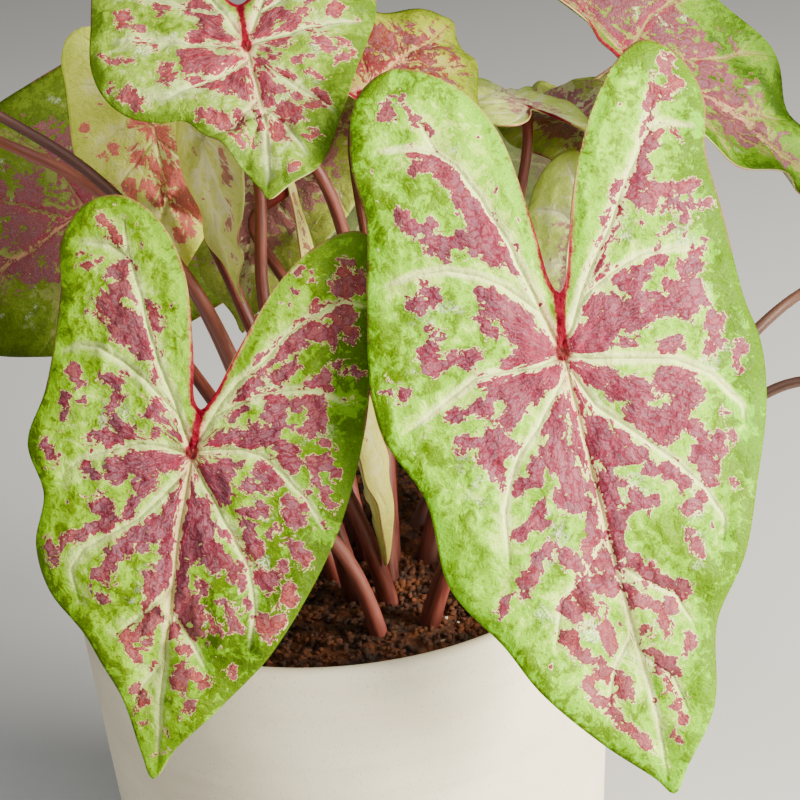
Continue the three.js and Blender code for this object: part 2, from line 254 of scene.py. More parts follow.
def pot_radius_at(z):
    return POT_BASE_RADIUS + (POT_RIM_RADIUS - POT_BASE_RADIUS) * z / POT_HEIGHT


def quarter(centre, radius, start, turns=6):
    """Points on a quarter of a circle, from a start angle in degrees."""
    angles = [math.radians(start + 90 * i / turns) for i in range(turns + 1)]
    return [(centre[0] + radius * math.cos(a), centre[1] + radius * math.sin(a)) for a in angles]


def pot_section():
    """The pot's wall in section, from the middle of its underside to the middle inside."""
    points = [(0, FOOT_HOLLOW_DEPTH), (FOOT_HOLLOW_RADIUS, FOOT_HOLLOW_DEPTH), (FOOT_RING_RADIUS, 0)]
    points += quarter((POT_BASE_RADIUS - FOOT_ROUND, FOOT_ROUND), FOOT_ROUND, -90)
    points += [(pot_radius_at(z), z) for z in OUTER_HEIGHTS]
    lip = (pot_radius_at(POT_HEIGHT) - LIP_ROUND - LIP_INSET, POT_HEIGHT - LIP_ROUND)
    points += quarter(lip, LIP_ROUND, 0)
    points += quarter(lip, LIP_ROUND, 90)[1:]
    points += [(pot_radius_at(z) - POT_WALL, z) for z in INNER_HEIGHTS]
    points += [(pot_radius_at(8) - POT_WALL - 2, POT_FLOOR + 0.5)]
    points += [(POT_FLOOR_RADIUS, POT_FLOOR), (0, POT_FLOOR)]
    return points


def new_piece(name, bm, finishes):
    mesh = bpy.data.meshes.new(name)
    bm.to_mesh(mesh)
    bm.free()
    mesh.polygons.foreach_set("use_smooth", [True] * len(mesh.polygons))
    piece = bpy.data.objects.new(name, mesh)
    bpy.context.scene.collection.objects.link(piece)
    for finish in finishes:
        mesh.materials.append(finish)
    return piece


def pot_finish():
    material, recipe, shader, _ = new_finish("cream_glaze")
    place = recipe.place()
    cloud = recipe.grain(place, 14.0, 4.0, 0.6)
    turning = recipe.grain(recipe.scaled(place, (1.0, 1.0, 14.0)), 9.0, 3.0, 0.6)
    tone = recipe.sum("MULTIPLY_ADD", turning, 0.35, recipe.sum("MULTIPLY", cloud, 0.65))
    body = recipe.blend(recipe.step(tone, 0.36, 0.64), POT_SHADOW, POT_CREAM)
    grit = recipe.node("ShaderNodeTexVoronoi", {"Vector": place, "Scale": 900.0})
    grit_size = recipe.step(grit.outputs["Distance"], 0.16, 0.34, 1.0, 0.0)
    chosen = recipe.step(recipe.channels(grit.outputs["Color"])[0], 0.74, 0.86)
    speck = recipe.sum("MULTIPLY", recipe.sum("MULTIPLY", grit_size, chosen), 0.6)
    recipe.feed(shader.inputs["Base Color"], recipe.blend(speck, body, POT_SPECK))
    fine = recipe.grain(place, 1400.0, 3.0, 0.65)
    recipe.feed(shader.inputs["Roughness"], recipe.step(fine, 0.3, 0.7, 0.55, 0.75))
    relief = recipe.sum("MULTIPLY_ADD", fine, 0.7, recipe.sum("MULTIPLY", turning, 1.2))
    recipe.feed(shader.inputs["Normal"], recipe.bump(relief, 0.25, 0.0004))
    return material


def throw_pot():
    bm = bmesh.new()
    ring = [bm.verts.new((x * MM, 0, z * MM)) for x, z in pot_section()]
    edges = [bm.edges.new(pair) for pair in zip(ring, ring[1:])]
    bmesh.ops.spin(bm, geom=ring + edges, cent=(0, 0, 0), axis=(0, 0, 1), angle=math.tau,
                   steps=POT_ROUND_STEPS, use_merge=True)
    bmesh.ops.remove_doubles(bm, verts=bm.verts, dist=1e-6)
    bmesh.ops.recalc_face_normals(bm, faces=bm.faces)
    pot = new_piece("pot_glazed", bm, [pot_finish()])
    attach(pot, "root")
    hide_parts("pot")


throw_pot()


# ---------------------------------------------------------------- soil
# The pot is filled with damp coconut fibre: dark brown crumbs with loose
# strands and a few pale grains, heaped a little round the crown.

SOIL_TOP = 139
SOIL_CROWN = 3.5
SOIL_REACH = 79.6
SOIL_RAYS = 220
SOIL_RINGS = 70
# The last rings of the bed turn down beside the pot's wall.
SOIL_SKIRT_FROM = 0.94
SOIL_SKIRT_DEPTH = 12
LUMP_SIZE = 9
LUMP_RISE = 1.5
CRUMB_SIZE = 2.4
CRUMB_RISE = 0.9
SOIL_DARK = "#261208"
SOIL_BROWN = "#6a3818"
SOIL_TAN = "#7e4c28"
GRAIN_COLORS = ("#b9a78c", "#d9cdb8")
CRUMB_COUNT = 8000
CRUMB_RADII = (0.4, 1.6)
CRUMB_SEED = 11
CRUMB_LUMPINESS = 0.3
CRUMB_TILT = 0.6
CRUMB_LIFT = 0.15
GRAIN_COUNT = 46
GRAIN_RADII = (0.5, 1.1)
GRAIN_SEED = 12


def soil_height(x, y):
    """The height of the loose surface."""
    share = math.hypot(x, y) / SOIL_REACH
    lumps = noise.fractal(Vector((x, y, 0)) / LUMP_SIZE, 0.8, 2.2, 4)
    crumbs = noise.fractal(Vector((x, y, 5)) / CRUMB_SIZE, 0.7, 2.1, 3)
    fade = min(1.0, (1 - min(share, 1.0)) * 9 + 0.25)
    uneven = LUMP_RISE * lumps + CRUMB_RISE * crumbs
    return SOIL_TOP + SOIL_CROWN * (1 - share ** 2) + uneven * fade


def soil_finish():
    material, recipe, shader, _ = new_finish("coconut_fibre")
    place = recipe.place()
    clump = recipe.grain(place, 160.0, 5.0, 0.7)
    thread = recipe.grain(recipe.scaled(place, (1.0, 3.2, 1.0)), 700.0, 3.0, 0.7, 1.5)
    body = recipe.blend(recipe.step(clump, 0.36, 0.62), SOIL_DARK, SOIL_BROWN)
    body = recipe.blend(recipe.step(thread, 0.6, 0.78, 0.0, 0.7), body, SOIL_TAN)
    recipe.feed(shader.inputs["Base Color"], body)
    recipe.feed(shader.inputs["Roughness"], recipe.step(clump, 0.3, 0.7, 0.65, 0.95))
    relief = recipe.sum("ADD", clump, recipe.sum("MULTIPLY", thread, 0.6))
    recipe.feed(shader.inputs["Normal"], recipe.bump(relief, 0.8, 0.0012))
    return material


def mottled_finish(name, scale, detail, roughness, colors, dull):
    """A dull skin mottled between two colours, for pieces without a pattern of their own."""
    material, recipe, shader, _ = new_finish(name)
    mottle = recipe.grain(recipe.place(), scale, detail, roughness)
    recipe.feed(shader.inputs["Base Color"], recipe.blend(mottle, *colors))
    recipe.feed(shader.inputs["Roughness"], recipe.step(mottle, 0.3, 0.7, *dull))
    return material


def fill_pot():
    bm = bmesh.new()
    bmesh.ops.create_grid(bm, x_segments=SOIL_RAYS, y_segments=SOIL_RINGS, size=0.5)
    # The grid's two directions become the way round and the way out.
    for vert in bm.verts:
        angle = math.tau * (vert.co.x + 0.5)
        share = vert.co.y + 0.5
        top_share = min(share / SOIL_SKIRT_FROM, 1.0)
        x = SOIL_REACH * top_share * math.cos(angle)
        y = SOIL_REACH * top_share * math.sin(angle)
        z = soil_height(x, y)
        if share > SOIL_SKIRT_FROM:
            z -= (share - SOIL_SKIRT_FROM) / (1 - SOIL_SKIRT_FROM) * SOIL_SKIRT_DEPTH
        vert.co = Vector((x, y, z)) * MM
    bmesh.ops.remove_doubles(bm, verts=bm.verts, dist=2e-6)
    rim = [edge for edge in bm.edges if edge.is_boundary]
    bmesh.ops.contextual_create(bm, geom=rim)
    bmesh.ops.recalc_face_normals(bm, faces=bm.faces)
    soil = new_piece("soil_bed", bm, [soil_finish()])
    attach(soil, "root")
    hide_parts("soil")
    return soil


def spot_on_soil(rng, reach):
    radius = reach * math.sqrt(rng.random())
    angle = rng.random() * math.tau
    return radius * math.cos(angle), radius * math.sin(angle)


def scatter_crumbs(name, count, sizes, finish, seed, reach):
    """Loose crumbs, each a small lump squashed and turned its own way."""
    rng = random.Random(seed)
    heap = bmesh.new()
    passing = bpy.data.meshes.new("crumb")
    for _ in range(count):
        bm = bmesh.new()
        made = bmesh.ops.create_icosphere(bm, subdivisions=1, radius=1.0)["verts"]
        x, y = spot_on_soil(rng, reach)
        size = rng.uniform(*sizes)
        for vert in made:
            vert.co += Vector([rng.uniform(-CRUMB_LUMPINESS, CRUMB_LUMPINESS) for _ in range(3)])
        shape = Matrix.Diagonal((size, size * rng.uniform(0.5, 0.9), size * rng.uniform(0.45, 0.8), 1))
        turn = Matrix.Rotation(rng.random() * math.tau, 4, "Z")
        tilt = Matrix.Rotation(rng.uniform(-CRUMB_TILT, CRUMB_TILT), 4, "X")
        place = Matrix.Translation((x, y, soil_height(x, y) + size * CRUMB_LIFT))
        whole = Matrix.Scale(MM, 4) @ place @ turn @ tilt @ shape
        bmesh.ops.transform(bm, matrix=whole, verts=made)
        bm.to_mesh(passing)
        bm.free()
        heap.from_mesh(passing)
    bpy.data.meshes.remove(passing)
    crumbs = new_piece(name, heap, [finish])
    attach(crumbs, "root")


soil_bed = fill_pot()
coconut_fibre = soil_bed.data.materials[0]
scatter_crumbs("soil_crumbs", CRUMB_COUNT, CRUMB_RADII, coconut_fibre, CRUMB_SEED, SOIL_REACH - 2)
pale_grain = mottled_finish("pale_grain", 1800.0, 3.0, 0.6, GRAIN_COLORS, (0.7, 0.95))
scatter_crumbs("soil_grains", GRAIN_COUNT, GRAIN_RADII, pale_grain, GRAIN_SEED, SOIL_REACH - 6)


# ---------------------------------------------------------------- tuber
# The tuber that all stalks grow from sits inside the soil, brown and
# corky, so only its own finish is given here.

CORK_COLORS = ("#4a3220", "#8d6b48")

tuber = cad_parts["tuber"]
tuber.data.materials.clear()
corky_skin = mottled_finish("corky_skin", 120.0, 5.0, 0.65, CORK_COLORS, (0.7, 0.9))
tuber.data.materials.append(corky_skin)


# ---------------------------------------------------------------- leaf blades
# Each leaf is one arrow-shaped blade that hangs from its stalk: thin, soft
# and slightly quilted between pale veins, green at the margin and blotched
# dusty pink round the point where the stalk joins.

BLADE_THICKNESS = 0.5

# The ordinary blade has a tip one unit long; each leaf sets its own length and breadth.
COMMON_OUTLINE = [
    (0, -1), (0.05, -0.92), (0.16, -0.77), (0.29, -0.57), (0.4, -0.34), (0.47, -0.1), (0.49, 0.14),
    (0.5, 0.38), (0.52, 0.54), (0.47, 0.69), (0.36, 0.73), (0.25, 0.63), (0.15, 0.44), (0.05, 0.19),
    (0, 0.13), (-0.05, 0.19), (-0.14, 0.44), (-0.23, 0.64), (-0.34, 0.75), (-0.46, 0.71),
    (-0.51, 0.55), (-0.49, 0.36), (-0.48, 0.12), (-0.47, -0.12), (-0.4, -0.36), (-0.28, -0.58),
    (-0.16, -0.78), (-0.05, -0.92),
]
# Veins run out from the stalk's joint: the midrib, one into each lobe, and side veins.
COMMON_VEINS = [
    (0.8, [(0, -0.02), (0.01, -0.4), (-0.01, -0.7), (0, -0.96)]),
    (0.7, [(-0.02, 0.05), (-0.12, 0.3), (-0.24, 0.52), (-0.36, 0.68)]),
    (0.7, [(0.02, 0.05), (0.12, 0.28), (0.25, 0.5), (0.37, 0.66)]),
    (0.6, [(-0.08, 0.18), (-0.24, 0.3), (-0.4, 0.34), (-0.48, 0.32)]),
    (0.6, [(0.08, 0.18), (0.25, 0.3), (0.4, 0.33), (0.48, 0.3)]),
    (0.6, [(-0.02, 0), (-0.2, 0), (-0.36, -0.08), (-0.45, -0.18)]),
    (0.6, [(0.02, 0), (0.2, -0.02), (0.36, -0.1), (0.44, -0.22)]),
    (0.5, [(0, -0.08), (-0.15, -0.24), (-0.27, -0.38), (-0.32, -0.5)]),
    (0.5, [(0, -0.08), (0.15, -0.26), (0.27, -0.4), (0.31, -0.52)]),
    (0.4, [(0, -0.38), (-0.1, -0.52), (-0.18, -0.66)]),
    (0.4, [(0, -0.42), (0.1, -0.56), (0.17, -0.7)]),
]


def in_leaf_size(leaf, path):
    """Points of the ordinary blade in a leaf's own length and breadth."""
    left, right = leaf["lobes"]
    return [(x * leaf["breadth"], y * leaf["length"] * (1 if y < 0 else left if x < 0 else right))
            for x, y in path]


def outline_of(leaf):
    return np.array(leaf["outline"] if "outline" in leaf else in_leaf_size(leaf, COMMON_OUTLINE), float)


def veins_of(leaf):
    if "veins" in leaf:
        return leaf["veins"]
    size = min((leaf["length"] + leaf["breadth"]) / 120, 1.2)
    return [(width * size, in_leaf_size(leaf, path)) for width, path in COMMON_VEINS]


CURVE_POINTS = 1200


def smooth_curve(points, closed, count):
    """Points at even distances on a centripetal Catmull-Rom curve through the given ones."""
    points = np.array(points, float)
    if closed:
        padded = np.concatenate([points[-1:], points, points[:2]])
    else:
        padded = np.concatenate([[2 * points[0] - points[1]], points, [2 * points[-1] - points[-2]]])
    spans = len(padded) - 3
    pieces = []
    steps = np.linspace(0, 1, CURVE_POINTS // spans, endpoint=False)[:, None]
    for i in range(spans):
        a, b, c, d = padded[i:i + 4]
        first, middle, last = [max(np.linalg.norm(q - p) ** 0.5, 1e-4) for p, q in ((a, b), (b, c), (c, d))]
        out = ((b - a) / first - (c - a) / (first + middle) + (c - b) / middle) * middle
        into = ((c - b) / middle - (d - b) / (middle + last) + (d - c) / last) * middle
        pieces.append(b + out * steps + (3 * c - 3 * b - 2 * out - into) * steps ** 2
                      + (2 * b - 2 * c + out + into) * steps ** 3)
    dense = np.concatenate(pieces + [points[:1] if closed else points[-1:]])
    walked = np.concatenate([[0], np.cumsum(np.linalg.norm(np.diff(dense, axis=0), axis=1))])
    marks = np.linspace(0, walked[-1], count)
    return np.stack([np.interp(marks, walked, dense[:, k]) for k in range(dense.shape[1])], 1)


def arc(distance, start, curl):
    """Distance along and across a circular arc that starts at an angle and curls down."""
    curl = curl if abs(curl) > 1e-9 else 1e-9
    end = start - curl * distance
    return (np.sin(start) - np.sin(end)) / curl, (np.cos(end) - np.cos(start)) / curl


RIPPLES = 5


def bent(leaf, x, y, rim):
    """Where the points (x, y) of the flat blade go once it hangs, in the blade's own frame."""
    outline = outline_of(leaf)
    tip, lobe = -outline[:, 1].min(), outline[:, 1].max()
    half = (outline[:, 0].max() - outline[:, 0].min()) / 2
    droop = math.radians(leaf["droop"] + leaf["fold"]) / half
    across, rise = arc(np.abs(x), math.radians(leaf["fold"]), droop)
    ripple = leaf["wave"] * rim ** 2 * np.sin(RIPPLES * np.arctan2(x, y + tip / 2))
    lift = rise + ripple
    spots = np.zeros((len(x), 3))
    for side, bend in ((y < 0, leaf["tip_bend"] / tip), (y >= 0, leaf["lobe_bend"] / lobe)):
        bend = math.radians(bend)
        along, drop = arc(np.abs(y), 0.0, bend)
        lean = bend * np.abs(y) * np.sign(y)
        whole = np.stack([across * np.sign(x), along * np.sign(y) + lift * np.sin(lean),
                          drop + lift * np.cos(lean)], 1)
        spots[side] = whole[side]
    return spots


def blade_turn(leaf):
    return np.array(Matrix.Rotation(math.radians(leaf["heading"]), 3, "Z")
                    @ Matrix.Rotation(math.radians(leaf["pitch"]), 3, "X")
                    @ Matrix.Rotation(math.radians(-leaf["roll"]), 3, "Y"))


def nearest_on_path(x, y, path):
    """Offset to the nearest point of a path, its length and how far along it lies."""
    path = np.array(path, float)
    spans = np.linalg.norm(np.diff(path, axis=0), axis=1)
    ahead = np.concatenate([[0], np.cumsum(spans)]) / spans.sum()
    best = np.full(len(x), 1e9)
    offset = np.zeros((len(x), 2))
    share = np.zeros(len(x))
    for i, (a, b) in enumerate(zip(path, path[1:])):
        run = b - a
        t = np.clip(((x - a[0]) * run[0] + (y - a[1]) * run[1]) / (run @ run), 0, 1)
        dx, dy = x - a[0] - t * run[0], y - a[1] - t * run[1]
        gap = np.hypot(dx, dy)
        nearer = gap < best
        best[nearer] = gap[nearer]
        offset[nearer] = np.stack([dx, dy], 1)[nearer]
        share[nearer] = (ahead[i] + t * (ahead[i + 1] - ahead[i]))[nearer]
    return offset, best, share


# A look is the colouring of one kind of blade. Its reach is how far the blotches go out from
# the joint, amount makes them grow, unrest frays them, flush reddens what lies by the joint,
# and thin is the share of light that comes through.
LOOKS = {}
LOOK_COLORS = ("rim", "patch", "pale", "vein", "edge", "pink", "net", "warm", "hair")
MILK = "#f0eedc"
ROSY_RIB = "#dc9880"
PURPLE_GREY = "#785a66"
FLUSH = "#961c3c"
RED_HALO = "#a84a58"
CRIMSON = "#74061e"
DARK_RED = "#5e2220"
UNDERSIDE = "#b9bf94"
MARGIN_COLORS = ("#a9b060", "#9a5a48")


def add_look(name, reach, amount, thin=0.22, unrest=2.0, flush=1.0, **colors):
    LOOKS[name] = {"reach": reach, "amount": amount, "thin": thin, "unrest": unrest, "flush": flush,
                   **colors}


def markings_group():
    """The drawing of a blade: green ground, pale veins, pink blotches with their net, red notch."""
    group = bpy.data.node_groups.new("blade_markings", "ShaderNodeTree")
    sockets = [(name, "INPUT", "Color") for name in LOOK_COLORS]
    sockets += [(name, "INPUT", "Float") for name in ("amount", "unrest", "slack", "flush")]
    sockets += [("color", "OUTPUT", "Color"), ("relief", "OUTPUT", "Float"), ("gloss", "OUTPUT", "Float")]
    for name, way, kind in sockets:
        group.interface.new_socket(name, in_out=way, socket_type=f"NodeSocket{kind}")
    r = Recipe(group)
    given = r.node("NodeGroupInput").outputs
    flat = r.attribute("flat")
    vein = r.attribute("vein")
    zone, margin, width = r.parts(r.attribute("marks"))
    crimson, reach, depth = r.parts(r.attribute("tints"))
    across, lengthwise, seed = r.parts(flat)

    # Distance to the nearest vein, exact on the vein itself.
    rough_gap = r.parts(vein)[2]
    gap = r.sum("MAXIMUM", r.flat_length(vein), r.sum("SUBTRACT", rough_gap, given["slack"]))

    # Unevenness at four sizes, from broad patches to the grain of the skin.
    drift = r.grain(flat, 0.035, 2.0, 0.5)
    big = r.grain(flat, 0.13, 4.0, 0.62, 0.7)
    ragged = r.grain(flat, 0.42, 4.0, 0.66, 0.5)
    fine = r.grain(flat, 1.9, 2.0, 0.6)

    # Ground: pale by the veins, lime further off and darker green in patches.
    tone = r.sum("MULTIPLY_ADD", ragged, 0.5, r.sum("MULTIPLY", big, 0.5))
    tone = r.sum("ADD", tone, r.step(gap, 0.5, 6.0, -0.05, 0.06))
    tone = r.sum("ADD", tone, r.step(margin, 1.0, 8.0, 0.13, 0.0))
    # Painted shade pushes the tone towards the darker greens, and the paler strokes pull it back.
    tone = r.sum("MULTIPLY_ADD", depth, 0.09, tone)
    ground = r.blend(r.step(tone, 0.42, 0.5), given["pale"], given["rim"])
    deep = r.sum("ADD", tone, r.step(margin, 1.0, 8.0, -0.11, 0.0))
    ground = r.blend(r.step(deep, 0.53, 0.6, 0.0, 0.85), ground, given["patch"])
    ground = r.blend(r.step(drift, 0.5, 0.66, 0.0, 0.3), ground, given["rim"])

    # Milky flecks, a deeper green at the margin, and painted shade, drawn as a deeper green, in the parts
    # taken as shaded.
    milk = r.step(r.grain(flat, 0.09, 3.0, 0.6), 0.59, 0.69)
    milk = r.sum("MULTIPLY", milk, r.step(fine, 0.42, 0.56, 0.0, 0.5))
    milk = r.sum("MULTIPLY", milk, r.step(margin, 6.0, 14.0))
    ground = r.blend(milk, ground, MILK)
    # Painted shade, and the deeper green of the margin, darken the ground.
    painted_shade_and_deep_rim = r.step(depth, 0.0, 1.0, 0.0, 0.48)
    painted_shade_and_deep_rim = r.sum("MAXIMUM", painted_shade_and_deep_rim, r.step(margin, 0.5, 6.0, 0.32, 0.0))
    ground = r.blend(painted_shade_and_deep_rim, ground, r.blend(1.0, ground, ground, blend_type="MULTIPLY"))

    # Vein bands with ragged sides, rosy along the midrib, and a darker hairline in the middle.
    band = r.sum("SUBTRACT", r.sum("MULTIPLY_ADD", width, 1.25, r.centred(ragged, 0.9)), gap)
    banded = r.sum("MULTIPLY", r.step(band, -1.0, 0.3, 0.0, 0.85), r.step(width, 0.0, 0.4))
    ground = r.blend(banded, ground, given["vein"])
    rosy = r.step(r.sum("ABSOLUTE", across), 1.5, 4.0, given["flush"], 0.0)
    rosy = r.sum("MULTIPLY", rosy, r.step(reach, 0.3, 0.75, 0.7, 0.0))
    ground = r.blend(r.sum("MULTIPLY", rosy, banded), ground, ROSY_RIB)
    hairline = r.step(gap, 0.08, 0.28, 1.0, 0.0)
    hairline = r.sum("MULTIPLY", hairline, r.step(width, 0.35, 0.9, 0.0, 0.75))
    ground = r.blend(hairline, ground, given["hair"])

    # The net in the blotches fans out from the joint, in cells longer than they are wide.
    turned = r.sum("ARCTAN2", across, r.sum("MULTIPLY", lengthwise, -1.0))
    away = r.flat_length(flat)
    fan = {0: r.sum("MULTIPLY", turned, 21.0), 1: r.sum("MULTIPLY", away, 0.27), 2: seed}
    spread = r.node("ShaderNodeCombineXYZ", fan).outputs[0]
    wander = r.node("ShaderNodeTexNoise", {"Vector": flat, "Scale": 0.35, "Detail": 2.0}).outputs["Color"]
    drawn = r.vector("MULTIPLY_ADD", wander, (2.6, 1.6, 0), spread)
    net_cells = {"Vector": drawn, "Scale": 1.0}
    cell = r.channels(r.node("ShaderNodeTexVoronoi", net_cells).outputs["Color"])[0]
    net = r.node("ShaderNodeTexVoronoi", net_cells, feature="DISTANCE_TO_EDGE").outputs["Distance"]

    # Blotches keep between the veins.
    stir = r.sum("ADD", r.centred(big, 6.0), r.centred(ragged, 4.6))
    stir = r.sum("MULTIPLY", stir, given["unrest"])
    body = r.sum("ADD", r.sum("ADD", zone, stir), r.centred(cell, 0.75))
    body = r.sum("ADD", body, given["amount"])
    clear = r.sum("SUBTRACT", gap, r.sum("MULTIPLY_ADD", width, 0.9, r.centred(ragged, 1.6)))
    clear = r.sum("ADD", clear, r.centred(cell, 0.5))
    body = r.sum("MINIMUM", body, clear)

    # Small spots are strewn round them, none of it reaches the margin, and a few holes are left.
    stirred = r.vector("MULTIPLY_ADD", wander, (4.0, 4.0, 0), flat)
    cells = r.node("ShaderNodeTexVoronoi", {"Vector": stirred, "Scale": 0.24, "Randomness": 1.0})
    spot_size = r.step(r.channels(cells.outputs["Color"])[0], 0.3, 1.0, -0.06, 0.15)
    spot = r.sum("SUBTRACT", spot_size, cells.outputs["Distance"])
    spot = r.sum("MULTIPLY", r.sum("ADD", spot, r.centred(ragged, 0.13)), 7.0)
    spot = r.sum("MINIMUM", spot, r.sum("MULTIPLY_ADD", margin, 0.4, -1.2))
    body = r.sum("MAXIMUM", body, r.sum("ADD", spot, -0.1))
    body = r.sum("MINIMUM", body, r.sum("MULTIPLY_ADD", margin, 0.5, -0.6))
    body = r.sum("MINIMUM", body, r.sum("MULTIPLY_ADD", r.grain(flat, 0.8), -14.0, 10.3))

    # The pink is darker along its net and rims, warmer towards the margin, flushed by the joint.
    flesh = r.step(r.sum("ADD", reach, r.centred(big, 0.5)), 0.3, 0.75)
    flesh = r.blend(flesh, given["pink"], given["warm"])
    flesh = r.blend(r.step(cell, 0.2, 0.9, 0.1, 0.45), flesh, PURPLE_GREY)
    threads = r.sum("MULTIPLY", r.step(net, 0.02, 0.13, 1.0, 0.0), r.step(reach, 0.2, 0.8, 0.8, 0.4))
    flesh = r.blend(threads, flesh, given["net"])
    flesh = r.blend(r.step(body, 0.1, 1.0, 0.5, 0.0), flesh, given["net"])
    by_vein = r.step(gap, 0.8, 3.6, r.step(reach, 0.1, 0.6, 0.8, 0.1), 0.0)
    flushed = r.sum("MAXIMUM", r.step(reach, 0.02, 0.16, 0.85, 0.0), by_vein)
    flushed = r.sum("MULTIPLY", flushed, given["flush"])
    flushed = r.sum("MULTIPLY", flushed, r.step(ragged, 0.36, 0.6, 0.9, 0.2))
    flesh = r.blend(flushed, flesh, FLUSH)
    drawing = r.blend(r.sum("MULTIPLY", r.step(body, -0.42, -0.12), 0.8), ground, given["edge"])
    drawing = r.blend(r.step(body, -0.12, 0.12), drawing, flesh)

    # Crimson in the notch, nearly black red where the stalk joins.
    red = r.sum("ADD", crimson, r.centred(ragged, 0.7))
    red = r.sum("ADD", red, r.sum("MULTIPLY_ADD", given["flush"], 9.0, -9.0))
    drawing = r.blend(r.step(red, -0.9, 0.0, 0.0, 0.45), drawing, RED_HALO)
    drawing = r.blend(r.step(red, -0.1, 0.5), drawing, CRIMSON)
    joint = r.step(r.sum("ADD", reach, r.centred(ragged, 0.02)), 0.004, 0.03, given["flush"], 0.0)
    drawing = r.blend(joint, drawing, DARK_RED)

    # Fine grain of the skin.
    lighter = r.blend(1.0, drawing, drawing, blend_type="SCREEN")
    darker = r.blend(1.0, drawing, drawing, blend_type="MULTIPLY")
    drawing = r.blend(r.step(fine, 0.52, 0.72, 0.0, 0.45), drawing, lighter)
    drawing = r.blend(r.step(fine, 0.28, 0.46, 0.35, 0.0), drawing, darker)

    groove = r.step(gap, 0.0, 0.8, -0.3, 0.0)
    puff = r.sum("MULTIPLY_ADD", big, 1.2, r.sum("MULTIPLY", ragged, 0.7))
    relief = r.sum("ADD", r.sum("ADD", groove, puff), r.sum("MULTIPLY", fine, 0.12))
    gloss = r.step(fine, 0.3, 0.7, 0.34, 0.5)
    r.node("NodeGroupOutput", {"color": drawing, "relief": relief, "gloss": gloss})
    return group


MARKINGS = markings_group()


def blade_finish(look, slack, side):
    material, recipe, shader, output = new_finish(f"blade_{look}_{side}_{int(slack * 10)}")
    given = LOOKS[look]
    drawing = recipe.node("ShaderNodeGroup", node_tree=MARKINGS)
    for name in (*LOOK_COLORS, "amount", "unrest", "flush"):
        recipe.feed(drawing.inputs[name], given[name])
    recipe.feed(drawing.inputs["slack"], slack)
    color = drawing.outputs["color"]
    if side == "under":
        color = recipe.blend(0.55, color, UNDERSIDE)
    recipe.feed(shader.inputs["Base Color"], color)
    recipe.feed(shader.inputs["Roughness"], drawing.outputs["gloss"])
    shader.inputs["Specular IOR Level"].default_value = 0.1
    normal = recipe.bump(drawing.outputs["relief"], 0.9, 0.0009)
    recipe.feed(shader.inputs["Normal"], normal)
    glow = recipe.node("ShaderNodeBsdfTranslucent", {"Color": color, "Normal": normal})
    mixed = recipe.node("ShaderNodeMixShader", {0: given["thin"], 1: shader.outputs[0], 2: glow.outputs[0]})
    recipe.feed(output.inputs["Surface"], mixed.outputs[0])
    return material


def cut_edge_finish():
    material, recipe, shader, _ = new_finish("blade_margin")
    drift = recipe.grain(recipe.place(), 45.0, 3.0)
    recipe.feed(shader.inputs["Base Color"], recipe.blend(recipe.step(drift, 0.35, 0.65), *MARGIN_COLORS))
    recipe.feed(shader.inputs["Roughness"], recipe.step(drift, 0.3, 0.7, 0.45, 0.6))
    return material


MARGIN = cut_edge_finish()
blade_finishes = {}


def finishes_of(look, slack):
    """The finishes of a blade's upper side, underside and rim, made once for each kind."""
    if (look, slack) not in blade_finishes:
        sides = [blade_finish(look, slack, side) for side in ("upper", "under")]
        blade_finishes[look, slack] = [*sides, MARGIN]
    return blade_finishes[look, slack]


BLOTCH_DEPTH = 1.6
NOTCH_HALF_ANGLE = 24


def blotch_field(leaf, x, y, reach):
    """How far inside its blotched zone each point lies."""
    if "blotches" in leaf:
        field = np.full(len(x), -9.0)
        for half_width, *path in leaf["blotches"]:
            if len(path) == 1:
                away = np.hypot(x - path[0][0], y - path[0][1])
            else:
                away = nearest_on_path(x, y, path)[1]
            field = np.maximum(field, half_width - away)
        return field
    size = np.abs(outline_of(leaf)).max()
    field = np.minimum((LOOKS[leaf["look"]]["reach"] - reach) * size * 0.35, BLOTCH_DEPTH)
    beside_notch = np.abs(np.degrees(np.arctan2(x, np.maximum(y, 1e-6)))) - NOTCH_HALF_ANGLE
    field = np.where(y > 0, np.minimum(field, beside_notch * 0.5), field)
    for half_width, *path in leaf.get("clears", ()):
        field = np.minimum(field, nearest_on_path(x, y, path)[1] - half_width)
    return field


def shade_and_pale_field(leaf, x, y):
    """Painted shade, drawn as a deeper green, where the field is above 0, and paler parts where it is below
    0.
    """
    field = np.zeros(len(x))
    for strength, reach, *path in leaf.get("depths", ()):
        share = np.clip(1 - nearest_on_path(x, y, path)[1] / reach, 0, 1)
        field += strength * share ** 2 * (3 - 2 * share)
    return np.clip(field, -1, 1)


def notch_bottom(outline):
    near_middle = np.abs(outline[:, 0]) < 0.12 * np.abs(outline[:, 0]).max()
    inner = outline[near_middle & (outline[:, 1] > 0)]
    return inner[np.argmin(inner[:, 1])]


NOTCH_STRIP = 0.75
NOTCH_RIM = 1.5
NOTCH_RIM_REACH = 34
JOINT_RADIUS = 1.9


def crimson_field(outline, x, y, margin):
    """How far inside the red strip of the notch each point lies."""
    bottom = notch_bottom(outline)
    _, strip, share = nearest_on_path(x, y, [(0, 0), bottom])
    field = NOTCH_STRIP + 0.006 * np.abs(outline).max() + 2 * (share - 0.5) ** 2 - strip
    from_bottom = np.hypot(x - bottom[0], y - bottom[1])
    along_rim = NOTCH_RIM * np.clip(1 - from_bottom / NOTCH_RIM_REACH, 0, 1) - margin
    field = np.where(y > bottom[1] - 1, np.maximum(field, along_rim), field)
    return np.maximum(field, JOINT_RADIUS - np.hypot(x, y - 1))


